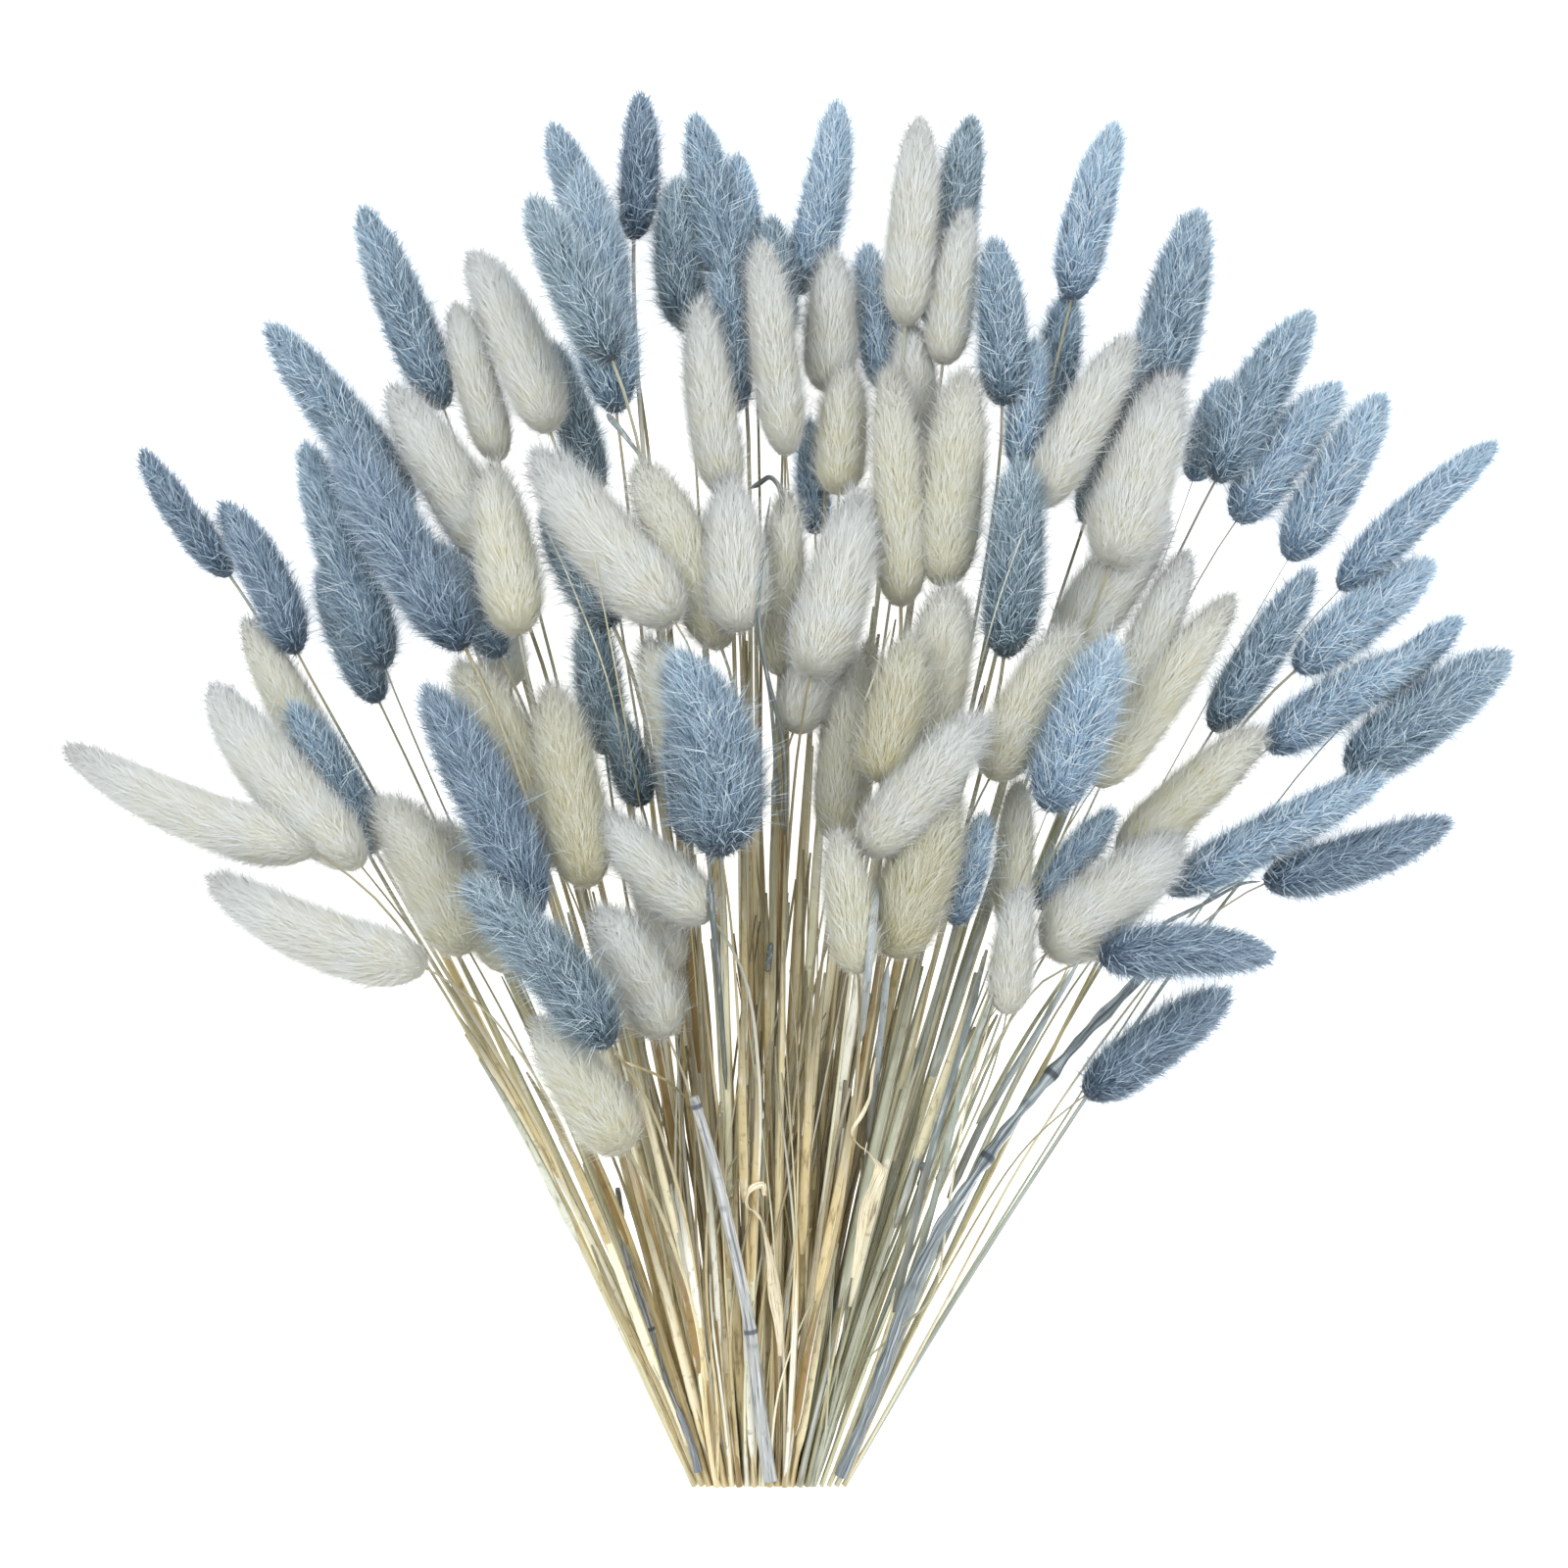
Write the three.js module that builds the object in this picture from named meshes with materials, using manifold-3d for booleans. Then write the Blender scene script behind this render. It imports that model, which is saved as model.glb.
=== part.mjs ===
// A fan-shaped bunch of dried bunny tail grass, lying on a flat surface.
// Millimetres. +Y runs from the cut stem ends to the furthest tips, +X is to the right seen from
// above, +Z is up, and the surface is z = 0.
import * as THREE from 'three';
import { mergeVertices } from 'three/addons/utils/BufferGeometryUtils.js';
import Module from 'manifold-3d';

const wasm = await Module();
wasm.setup();

// Driving dimensions
const bunchLength = 430;        // cut ends to furthest tips
const planLength = 1433;        // the same length on the 1600-wide plan that places are read from
const planMiddle = [804.2, 807]; // where that plan has the origin
const gatherPoint = [785, 1668]; // where all stems would meet, below the cut
const cutLine = 1518;           // the plan's line of the cut ends
const cutOverhang = 1;          // how far the stems stand out of the packed middle at the cut
const coreLength = 26;          // length over which the stems are packed solid at the cut

const stemRadius = { low: 1.02, high: 0.7 };
const stemSteps = 5;
const stemSides = 3;
const stemBend = { share: 0.3, most: 34 }; // length over which a stem turns into its head
const fanShare = 0.45;          // share of its length that a stem first follows the fan
const culmRadius = { low: 1.7, high: 1.1 };
const branchRadius = { low: 1.5, high: 2 };
const twigRadius = { low: 0.9, high: 0.7 };
const coarseSides = 6;
const leafWidth = { low: 3.2, high: 1.6 };
const leafThickness = 0.7;

const slotPitch = { x: 2.3, z: 2.2 };
const slotColumns = 21;
const slotRows = { edge: 2.5, middle: 6.1 }; // relative depth of the columns
const slotStagger = 0.4;        // share of a row that every other column is raised by
const lowestSlot = 1.2;         // height of the bottom row's axes at the cut

const bodyShare = 0.88;         // a head's solid across its tufts, over its width with the finest hair
const widestAt = 0.32;          // share of the length where a head is widest
const headSpheres = 9;          // spheres that stand for a head while it is laid down
const headSides = 6;
const tierLength = 22;          // length of head for each row of tufts
const tierRange = [3, 4];
const tuft = { first: 0.07, rows: 0.9, reach: 0.66, root: 0.74, short: 0.9, longer: 0.035, tip: 0.98 };
const lockReach = 1.5;          // widest gap that a lock of hair bridges between two heads
const lockRadius = 1.45;
const lockRoot = 0.4;           // depth of a lock's root, as a share of the head's radius
const lockSides = 4;

const layerReach = 150;         // plan distance that one layer counts for in the order of laying
const steepest = 0.3;           // greatest slope of a head
const slopeStep = 0.05;
const easySlope = 0.05;         // slope that a head takes where nothing tilts it
const slopeCost = 8;            // height that a head gives up to stay a whole unit nearer that slope
const clearGap = 0.8;           // between things that stay apart
const seatGap = 0.3;            // between a piece and what carries it
const seatSearch = 6;           // furthest that a piece is let down to its seat
const seatSteps = 12;
const pressShare = 0.76;        // how near the axes of two heads of one colour come, over their radii
const floorSink = 0.5;          // depth of the flat spot on a head that lies on the surface
const drapePasses = 60;
const settleBack = 0.5;         // share of a lift that may be given back when a route is drawn taut
const coarseSpacing = 6;        // between the balls that stand for a stem under a head
const stemSpacing = 4;          // between the places where a stem is held clear of heads
const fineSpacing = 1.5;        // both, for the pieces that lie on the bundle
const meshDetail = 0.01;        // finest detail kept in a joined solid

// Heads, read by hand on the plan: base x, y, tip x, y, width, layer (higher lies nearer the top),
// and how far the middle bows to the left of the way from base to tip.
const blueHeads = [
  [232, 588, 138, 455, 44, 2, 4], [303, 668, 222, 510, 56, 3, -6], [418, 520, 268, 325, 66, 2, 0],
  [393, 685, 305, 448, 66, 3, 0], [478, 665, 342, 438, 78, 4, 4], [385, 718, 322, 582, 52, 2, 0],
  [452, 418, 365, 205, 62, 1, 0], [512, 672, 448, 556, 52, 2, 0], [385, 872, 298, 718, 60, 2, 0],
  [552, 938, 436, 700, 74, 4, -6], [628, 1066, 480, 898, 76, 5, -8], [632, 300, 560, 120, 58, 1, 0],
  [630, 425, 592, 170, 74, 2, 0], [628, 372, 540, 200, 66, 3, 0], [645, 243, 652, 88, 48, 2, -4],
  [752, 310, 708, 110, 60, 1, 0], [702, 338, 690, 178, 62, 2, 4], [768, 300, 752, 150, 42, 1, 0],
  [750, 422, 742, 262, 52, 1, 0], [798, 350, 787, 218, 48, 1, 0], [812, 300, 856, 95, 58, 1, -8],
  [905, 398, 884, 245, 52, 1, 0], [950, 332, 994, 112, 62, 1, 0], [1024, 416, 1014, 242, 62, 3, -4],
  [1094, 306, 1142, 118, 60, 2, 4], [1066, 452, 1094, 292, 54, 1, 0], [1040, 480, 1058, 345, 46, 1, 0],
  [1024, 674, 1040, 470, 70, 2, -4], [1178, 405, 1226, 210, 76, 1, 0], [1108, 535, 1172, 335, 52, 1, 0],
  [1240, 492, 1342, 315, 68, 2, 6], [1262, 532, 1372, 388, 66, 3, 4], [1316, 572, 1418, 398, 66, 2, 0],
  [1220, 490, 1252, 385, 46, 1, 0], [1368, 602, 1536, 446, 54, 2, 4], [1322, 684, 1470, 570, 62, 2, 0],
  [1402, 712, 1498, 628, 44, 1, 0], [1293, 765, 1452, 668, 62, 3, 4], [1376, 790, 1545, 665, 78, 2, 0],
  [1238, 748, 1344, 578, 56, 2, 0], [1188, 912, 1420, 788, 58, 3, 0], [1290, 902, 1487, 838, 62, 2, -6],
  [1118, 975, 1300, 975, 64, 4, 6], [1106, 1120, 1258, 1012, 66, 4, 0], [1066, 830, 1132, 655, 76, 4, 0],
  [1056, 928, 1138, 826, 46, 2, 0], [608, 505, 562, 346, 50, 1, 0], [628, 640, 556, 520, 62, 2, 0],
  [618, 772, 602, 622, 56, 1, 0], [656, 824, 626, 728, 50, 2, 0], [738, 876, 692, 668, 100, 5, -8],
  [706, 862, 690, 735, 46, 2, 0], [833, 545, 826, 425, 42, 1, 0], [972, 945, 1004, 830, 44, 2, 0],
];
const whiteHeads = [
  [325, 868, 62, 760, 68, 3, 14], [372, 884, 214, 698, 74, 2, 10], [512, 575, 396, 392, 76, 2, 0],
  [562, 440, 478, 252, 70, 3, -6], [508, 470, 462, 306, 52, 2, 0], [530, 648, 500, 472, 72, 3, 0],
  [372, 868, 246, 628, 60, 1, 0], [440, 985, 215, 895, 74, 3, 14], [480, 972, 392, 816, 88, 3, -6],
  [520, 992, 452, 840, 62, 2, 0], [519, 702, 500, 590, 52, 1, 0], [572, 884, 470, 676, 78, 2, -6],
  [602, 906, 562, 700, 76, 2, 0], [692, 636, 546, 462, 86, 4, 4], [738, 662, 652, 474, 72, 3, -4],
  [742, 508, 714, 306, 60, 2, 4], [755, 646, 744, 492, 72, 4, 0], [803, 466, 776, 246, 56, 2, 0],
  [846, 398, 850, 256, 64, 2, 0], [856, 505, 864, 372, 60, 2, 0], [924, 332, 940, 114, 60, 2, 0],
  [962, 372, 986, 214, 54, 2, 0], [942, 470, 928, 326, 54, 1, 0], [920, 620, 906, 374, 66, 3, -4],
  [962, 600, 984, 378, 74, 2, 0], [940, 765, 972, 600, 78, 2, 0], [826, 690, 878, 502, 80, 4, -4],
  [808, 748, 850, 640, 62, 3, 0], [795, 690, 802, 500, 56, 2, 0], [708, 800, 662, 652, 62, 2, 0],
  [1058, 518, 1154, 342, 62, 3, 0], [1132, 578, 1198, 382, 88, 4, 0], [1086, 662, 1188, 520, 76, 3, 0],
  [1132, 752, 1214, 562, 58, 2, 0], [1116, 802, 1262, 604, 62, 3, 0], [1142, 876, 1290, 744, 62, 3, 0],
  [1066, 972, 1204, 858, 86, 3, 0], [1008, 795, 1096, 640, 74, 3, 0], [1030, 950, 1040, 795, 46, 3, 0],
  [1026, 1034, 1040, 905, 52, 4, 0], [880, 870, 1002, 732, 70, 4, 0], [908, 976, 966, 800, 86, 3, 0],
  [876, 992, 854, 848, 58, 5, 0], [852, 860, 872, 660, 62, 2, 0], [898, 800, 930, 650, 74, 2, 0],
  [728, 936, 616, 834, 68, 4, 4], [682, 1056, 614, 928, 74, 4, -4], [642, 1172, 552, 1040, 80, 4, 0],
  [690, 990, 655, 880, 50, 2, 0], [876, 812, 888, 650, 40, 1, 0],
];

// Routes of the coarser pieces on top of the bundle, from the cut upwards, read on the same plan
const culmRoute = [[786, 1514], [775, 1440], [766, 1360], [748, 1270], [728, 1185], [708, 1118]];
const branchRoute = [[858, 1510], [905, 1385], [950, 1270], [1008, 1178], [1072, 1102], [1116, 1050]];
const twigRoute = [[712, 1506], [676, 1400], [650, 1325], [638, 1268], [626, 1216]];
const leftLeafRoute = [[806, 1372], [798, 1315], [790, 1262], [772, 1214]];
const rightLeafRoute = [[884, 1300], [884, 1230], [892, 1180], [872, 1148], [882, 1092]];

const mmPerPixel = bunchLength / planLength;
const place = ([x, y]) => [(x - planMiddle[0]) * mmPerPixel, (planMiddle[1] - y) * mmPerPixel];
const [gatherX, gatherY] = place(gatherPoint);
const [, cutY] = place([0, cutLine]);

const materials = {
  blue: new THREE.MeshStandardMaterial({ color: 0x6d86a6, roughness: 0.95, metalness: 0 }),
  white: new THREE.MeshStandardMaterial({ color: 0xe9e8dc, roughness: 0.95, metalness: 0 }),
  straw: new THREE.MeshStandardMaterial({ color: 0xcdbb8a, roughness: 0.7, metalness: 0 }),
  greyStem: new THREE.MeshStandardMaterial({ color: 0xb9bfc4, roughness: 0.7, metalness: 0 }),
  blueStem: new THREE.MeshStandardMaterial({ color: 0x66788a, roughness: 0.75, metalness: 0 }),
  dryLeaf: new THREE.MeshStandardMaterial({ color: 0xe3dcc4, roughness: 0.8, metalness: 0 }),
};

// Half width of a head at share t of its length, as a share of its largest half width
function headProfile(t) {
  if (t < widestAt) return Math.sqrt(1 - ((widestAt - t) / (widestAt + 0.02)) ** 2);
  return (1 - ((t - widestAt) / (1.02 - widestAt)) ** 2.2) ** 0.75;
}

// One head's measures: plan axis, size, and the spheres that stand for it while it is laid down
function measureHead([bx, by, tx, ty, width, layer, bow], colour) {
  const base = place([bx, by]);
  const tip = place([tx, ty]);
  const length = Math.hypot(tip[0] - base[0], tip[1] - base[1]);
  const along = [(tip[0] - base[0]) / length, (tip[1] - base[1]) / length];
  const reach = Math.hypot(bx - gatherPoint[0], by - gatherPoint[1]);
  const head = { colour, base, length, along };
  head.radius = width * mmPerPixel * bodyShare / 2;
  head.bow = bow * mmPerPixel;
  head.order = reach - layerReach * layer;
  head.spheres = [];
  for (let i = 0; i < headSpheres; i += 1) {
    const t = (i + 0.5) / headSpheres;
    const [x, y] = planPoint(head, t);
    head.spheres.push({ t, x, y, r: head.radius * headProfile(t), colour });
  }
  return head;
}

function planPoint(head, t) {
  const side = head.bow * 4 * t * (1 - t);
  return [
    head.base[0] + head.along[0] * head.length * t - head.along[1] * side,
    head.base[1] + head.along[1] * head.length * t + head.along[0] * side,
  ];
}

// Height over one ball at which another keeps its distance to it, where it doesn't pass beside it
function heightOver(x, y, ball, reach) {
  const aside = (x - ball.x) ** 2 + (y - ball.y) ** 2;
  return aside < reach * reach ? ball.z + Math.sqrt(reach * reach - aside) : -Infinity;
}

// A head settles on what lies there already, at the tilt that lets it down furthest
function settleHead(head, headBalls, stemBalls) {
  const needs = head.spheres.map((s) => {
    let need = s.r - floorSink;
    for (const ball of headBalls) {
      const reach = ball.colour === s.colour ? pressShare * (s.r + ball.r) : s.r + ball.r + clearGap;
      need = Math.max(need, heightOver(s.x, s.y, ball, reach));
    }
    for (const ball of stemBalls) {
      need = Math.max(need, heightOver(s.x, s.y, ball, s.r + ball.r + clearGap));
    }
    return need;
  });
  let best = null;
  const slopes = Math.round(steepest / slopeStep);
  for (let i = -slopes; i <= slopes; i += 1) {
    const slope = i * slopeStep;
    const low = Math.max(...needs.map((need, k) => need - slope * head.spheres[k].t * head.length));
    const cost = low + slope * head.length / 2 + slopeCost * Math.abs(slope - easySlope);
    if (!best || cost < best.cost) best = { cost, low, slope };
  }
  head.baseZ = best.low;
  head.slope = best.slope;
  for (const s of head.spheres) s.z = head.baseZ + head.slope * s.t * head.length;
}

// A stem runs from its slot at the cut to its head's base, and turns into the head's direction there
function stemRoute(head) {
  const [bx, by] = head.base;
  const start = [head.slot.x, cutY - cutOverhang];
  const span = Math.hypot(bx - start[0], by - start[1]);
  const fan = [bx - gatherX, by - gatherY];
  const fanLength = Math.hypot(...fan);
  const bend = Math.min(stemBend.share * span, stemBend.most);
  const first = span * fanShare / fanLength;
  const out = [start[0] + fan[0] * first, start[1] + fan[1] * first];
  const into = [bx - head.along[0] * bend, by - head.along[1] * bend];
  const end = [bx - head.along[0] * seatGap, by - head.along[1] * seatGap];
  const curve = new THREE.CubicBezierCurve3(
    new THREE.Vector3(...start, head.slot.z),
    new THREE.Vector3(...out, 0),
    new THREE.Vector3(...into, 0),
    new THREE.Vector3(...end, head.baseZ),
  );
  const points = [];
  for (let i = 0; i <= stemSteps; i += 1) {
    const point = curve.getPoint(i / stemSteps);
    point.z = head.slot.z + (head.baseZ - head.slot.z) * i / stemSteps;
    points.push(point);
  }
  return points;
}

// Lifts a route clear of the heads and stems it passes over, and draws it taut between them
function drapeRoute(points, radiusAt, balls, spacing, looseEnds) {
  const last = points.length - 1;
  const free = (i) => looseEnds || (i > 0 && i < last);
  const needAt = ({ x, y }, r) => balls.reduce(
    (need, ball) => Math.max(need, heightOver(x, y, ball, r + ball.r + clearGap)), r);
  points.forEach((point, i) => {
    if (free(i)) point.rest = needAt(point, radiusAt(i / last));
    if (free(i)) point.z = Math.max(point.rest, looseEnds ? 0 : point.z);
  });
  const samples = [];
  for (let i = 0; i < last; i += 1) {
    const steps = Math.ceil(points[i].distanceTo(points[i + 1]) / spacing);
    for (let k = 1; k < steps; k += 1) {
      const share = k / steps;
      const between = points[i].clone().lerp(points[i + 1], share);
      samples.push({ i, share, need: needAt(between, radiusAt((i + share) / last)) });
    }
  }
  for (let pass = 0; pass < drapePasses; pass += 1) {
    for (let i = 1; i < last; i += 1) {
      points[i].z = Math.max(points[i].rest, (points[i - 1].z + points[i + 1].z) / 2);
    }
    for (const { i, share, need } of samples) {
      const lift = need - (points[i].z * (1 - share) + points[i + 1].z * share);
      if (lift <= 0) continue;
      const low = free(i) ? 1 - share : 0;
      const high = free(i + 1) ? share : 0;
      raise(points[i], lift * low / (low * low + high * high));
      raise(points[i + 1], lift * high / (low * low + high * high));
    }
  }
}

function raise(point, lift) {
  if (lift === 0) return;
  point.z += lift;
  point.rest = Math.max(point.rest, point.z - settleBack * lift);
}

function ballsAlong(points, radiusAt, spacing) {
  const balls = [];
  const last = points.length - 1;
  for (let i = 0; i < last; i += 1) {
    const steps = Math.ceil(points[i].distanceTo(points[i + 1]) / spacing);
    for (let k = 0; k <= steps; k += 1) {
      const p = points[i].clone().lerp(points[i + 1], k / steps);
      balls.push({ x: p.x, y: p.y, z: p.z, r: radiusAt((i + k / steps) / last) });
    }
  }
  return balls;
}

// Slots at the cut: columns side by side, deeper in the middle, each filled from the bottom up
function giveSlots(heads) {
  const columns = [];
  let total = 0;
  for (let c = 0; c < slotColumns; c += 1) {
    const across = (c - (slotColumns - 1) / 2) / (slotColumns / 2 + 0.5);
    total += slotRows.edge + (slotRows.middle - slotRows.edge) * Math.sqrt(1 - across * across);
    columns.push({ x: gatherX + (c - (slotColumns - 1) / 2) * slotPitch.x, end: total, heads: [] });
  }
  const fanned = [...heads].sort((a, b) => fanSide(a) - fanSide(b));
  fanned.forEach((head, i) => {
    const share = (i + 0.5) / fanned.length * total;
    columns.find((column) => share <= column.end).heads.push(head);
  });
  columns.forEach((column, c) => {
    column.heads.sort((a, b) => b.order - a.order);
    column.heads.forEach((head, row) => {
      head.slot = { x: column.x, z: lowestSlot + (row + (c % 2) * slotStagger) * slotPitch.z };
    });
  });
  return columns;
}

const fanSide = (head) => (head.base[0] - gatherX) / (head.base[1] - gatherY);

// Turns a closed three.js geometry into a solid for joining and cutting
function solidOf(geometry) {
  const plain = new THREE.BufferGeometry();
  plain.setAttribute('position', geometry.getAttribute('position'));
  if (geometry.index) plain.setIndex(geometry.index);
  const merged = mergeVertices(plain, 1e-4);
  const triangles = [];
  for (let i = 0; i < merged.index.count; i += 3) {
    const [a, b, c] = [merged.index.getX(i), merged.index.getX(i + 1), merged.index.getX(i + 2)];
    if (a !== b && b !== c && c !== a) triangles.push(a, b, c);
  }
  return new wasm.Manifold(new wasm.Mesh({
    numProp: 3,
    vertProperties: new Float32Array(merged.getAttribute('position').array),
    triVerts: new Uint32Array(triangles),
  }));
}

function geometryOf(solid) {
  const mesh = solid.getMesh();
  const geometry = new THREE.BufferGeometry();
  geometry.setAttribute('position', new THREE.BufferAttribute(new Float32Array(mesh.vertProperties), 3));
  geometry.setIndex(new THREE.BufferAttribute(new Uint32Array(mesh.triVerts), 1));
  return geometry;
}

// A head: rows of six tufts that point to the tip, turned by half a step from row to row
function headSolid(head) {
  const tiers = THREE.MathUtils.clamp(Math.round(head.length / tierLength), ...tierRange);
  const step = tuft.rows / tiers;
  const rim = [new THREE.Vector2(0, 0)];
  for (let tier = 0; tier < tiers; tier += 1) {
    const start = tuft.first + tier * step;
    const end = start + tuft.reach * step;
    rim.push(new THREE.Vector2(tuft.root * headProfile(start), start));
    rim.push(new THREE.Vector2(headProfile(end), end));
  }
  rim.push(new THREE.Vector2(0, tuft.tip));
  const geometry = new THREE.LatheGeometry(rim, headSides);
  const position = geometry.getAttribute('position');
  const side = new THREE.Vector3(-head.along[1], head.along[0], 0);
  for (let i = 0; i < position.count; i += 1) {
    const rimIndex = i % rim.length;
    const slice = Math.floor(i / rim.length) % headSides;
    const tuftTip = rimIndex > 0 && rimIndex % 2 === 0;
    const halfTurn = Math.floor((rimIndex + 1) / 2) % 2;
    const longTuft = tuftTip && slice % 2 === halfTurn;
    const angle = (slice + 0.5 * halfTurn) / headSides * 2 * Math.PI;
    const t = rim[rimIndex].y + (longTuft ? tuft.longer : 0);
    const r = rim[rimIndex].x * head.radius * (tuftTip && !longTuft ? tuft.short : 1);
    const [x, y] = planPoint(head, t);
    const tangent = new THREE.Vector3(head.along[0], head.along[1], head.slope).normalize();
    const up = new THREE.Vector3().crossVectors(tangent, side);
    const point = new THREE.Vector3(x, y, head.baseZ + head.slope * t * head.length);
    point.addScaledVector(side, r * Math.cos(angle)).addScaledVector(up, r * Math.sin(angle));
    position.setXYZ(i, point.x, point.y, Math.max(point.z, 0));
  }
  return solidOf(geometry);
}

// Sets a straight geometry's rings on a route, square to it and as wide as it is there
function bendAlong(geometry, points, widthAt, depthAt) {
  const steps = points.length - 1;
  const position = geometry.getAttribute('position');
  for (let i = 0; i < position.count; i += 1) {
    const station = Math.round(position.getY(i) + steps / 2);
    const before = points[Math.max(station - 1, 0)];
    const after = points[Math.min(station + 1, steps)];
    const tangent = after.clone().sub(before).normalize();
    const side = new THREE.Vector3(tangent.y, -tangent.x, 0).normalize();
    const up = new THREE.Vector3().crossVectors(side, tangent);
    const point = points[station].clone();
    point.addScaledVector(side, widthAt(station / steps) * position.getX(i));
    point.addScaledVector(up, depthAt(station / steps) * position.getZ(i));
    position.setXYZ(i, point.x, point.y, Math.max(point.z, 0));
  }
  return solidOf(geometry);
}

// A round piece along a route, tapered from its low end to its high end
function bentSolid(points, radiusAt, sides) {
  const steps = points.length - 1;
  return bendAlong(new THREE.CylinderGeometry(1, 1, steps, sides, steps), points, radiusAt, radiusAt);
}

// A flat blade along a route, narrower towards its high end
function bladeSolid(points, widthAt, thickness) {
  const steps = points.length - 1;
  return bendAlong(new THREE.BoxGeometry(1, steps, thickness, 1, steps, 1), points, widthAt, () => 1);
}

// The packed middle of the cut ends, which every stem is rooted in, with a small flat underside
function coreSolid(columns) {
  const outline = new THREE.Shape();
  const half = columns[columns.length - 1].x - gatherX + stemRadius.low / 2;
  outline.moveTo(gatherX - half, 0);
  outline.lineTo(gatherX + half, 0);
  for (const column of [...columns].reverse()) {
    const top = column.heads[column.heads.length - 1].slot.z + stemRadius.low / 2;
    outline.lineTo(column.x + Math.sign(column.x - gatherX) * stemRadius.low / 2, top);
  }
  outline.closePath();
  const geometry = new THREE.ExtrudeGeometry(outline, { depth: coreLength, bevelEnabled: false });
  geometry.rotateX(Math.PI / 2);
  geometry.translate(0, cutY + coreLength, 0);
  return solidOf(geometry);
}

// Heads of one colour that nearly touch hold on to each other by a lock of hair, where it is clear
// of everything else
function locksBetween(heads, solids, others) {
  const group = heads.map((head, i) => i);
  const groupOf = (i) => (group[i] === i ? i : groupOf(group[i]));
  const pairs = [];
  heads.forEach((a, i) => {
    for (let k = i + 1; k < heads.length; k += 1) {
      const nearest = nearestPoints(a, heads[k]);
      if (nearest.gap < lockReach) pairs.push({ i, k, ...nearest });
    }
  });
  pairs.sort((a, b) => a.gap - b.gap);
  const locks = [];
  for (const { i, k, from, to } of pairs) {
    if (groupOf(i) === groupOf(k)) continue;
    if (solids[i].intersect(solids[k]).volume() > 1) {
      group[groupOf(i)] = groupOf(k);
      continue;
    }
    const roomy = bentSolid([from, to], () => lockRadius + clearGap, lockSides);
    if (roomy.intersect(others).volume() > 0) continue;
    locks.push(bentSolid([from, to], () => lockRadius, lockSides));
    group[groupOf(i)] = groupOf(k);
  }
  return locks;
}

// Where two heads come nearest to each other: a point well inside each, and the gap between them
function nearestPoints(a, b) {
  let nearest = { gap: Infinity };
  for (const s of a.spheres) {
    for (const o of b.spheres) {
      const gap = Math.hypot(s.x - o.x, s.y - o.y, s.z - o.z) - s.r - o.r;
      if (gap < nearest.gap) {
        const from = new THREE.Vector3(s.x, s.y, s.z);
        const to = new THREE.Vector3(o.x, o.y, o.z);
        const way = to.clone().sub(from).normalize();
        from.addScaledVector(way, s.r * lockRoot);
        to.addScaledVector(way, -o.r * lockRoot);
        nearest = { gap, from, to };
      }
    }
  }
  return nearest;
}

// A size that runs evenly from a piece's low end to its high end
const evenly = ({ low, high }) => (share) => low + (high - low) * share;

const heads = [
  ...blueHeads.map((row) => measureHead(row, 'blue')),
  ...whiteHeads.map((row) => measureHead(row, 'white')),
];
const columns = giveSlots(heads);
heads.sort((a, b) => b.order - a.order);

// The furthest and lowest heads are laid first, each with its stem, and the rest settle on them
const headBalls = [];
const stemBalls = [];
const stemRadiusAt = evenly(stemRadius);
for (const head of heads) {
  settleHead(head, headBalls, stemBalls);
  head.route = stemRoute(head);
  drapeRoute(head.route, stemRadiusAt, headBalls, stemSpacing, false);
  headBalls.push(...head.spheres);
  stemBalls.push(...ballsAlong(head.route, stemRadiusAt, coarseSpacing));
}

const bunch = new THREE.Group();

function addPiece(group, name, solid, material) {
  const mesh = new THREE.Mesh(geometryOf(solid.simplify(meshDetail)), material);
  mesh.name = name;
  group.add(mesh);
}

// All stems are rooted in the packed middle at the cut
const stalks = new THREE.Group();
bunch.add(stalks);
const stems = heads.reduce(
  (bundle, head) => bundle.add(bentSolid(head.route, stemRadiusAt, stemSides)), coreSolid(columns));
addPiece(stalks, 'stem_bundle', stems, materials.straw);

// Heads of one colour that hold together are one body, and every other head is its own
function addHeads(colour) {
  const group = new THREE.Group();
  bunch.add(group);
  const own = heads.filter((head) => head.colour === colour);
  const solids = own.map(headSolid);
  const rest = heads.filter((head) => head.colour !== colour).map(headSolid);
  const locks = locksBetween(own, solids, wasm.Manifold.union([...rest, stems]));
  const all = wasm.Manifold.union([...solids, ...locks]);
  const bodies = all.decompose();
  bodies.sort((a, b) => a.boundingBox().min[0] - b.boundingBox().min[0]);
  bodies.forEach((body, i) => {
    addPiece(group, `${colour}_heads_${String(i + 1).padStart(2, '0')}`, body, materials[colour]);
  });
  return all;
}

// What the coarser pieces lie on, one after another
let carriers = wasm.Manifold.union([stems, addHeads('blue'), addHeads('white')]);
const underBalls = [...headBalls];
for (const head of heads) underBalls.push(...ballsAlong(head.route, stemRadiusAt, fineSpacing));

function layRoute(plan, radiusAt) {
  const points = plan.map((point) => new THREE.Vector3(...place(point), 0));
  drapeRoute(points, radiusAt, underBalls, fineSpacing, true);
  underBalls.push(...ballsAlong(points, radiusAt, fineSpacing));
  return points;
}

// Lets a piece down until it lies a seat gap from what carries it, and adds it
function addSeated(name, solid, material) {
  let seated = solid;
  for (let i = 0; i < seatSteps; i += 1) {
    const spare = seated.minGap(carriers, seatSearch) - seatGap;
    const drop = Math.min(spare, seated.boundingBox().min[2]);
    if (drop > 0) seated = seated.translate([0, 0, -drop]);
  }
  carriers = carriers.add(seated);
  addPiece(stalks, name, seated, material);
}

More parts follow.
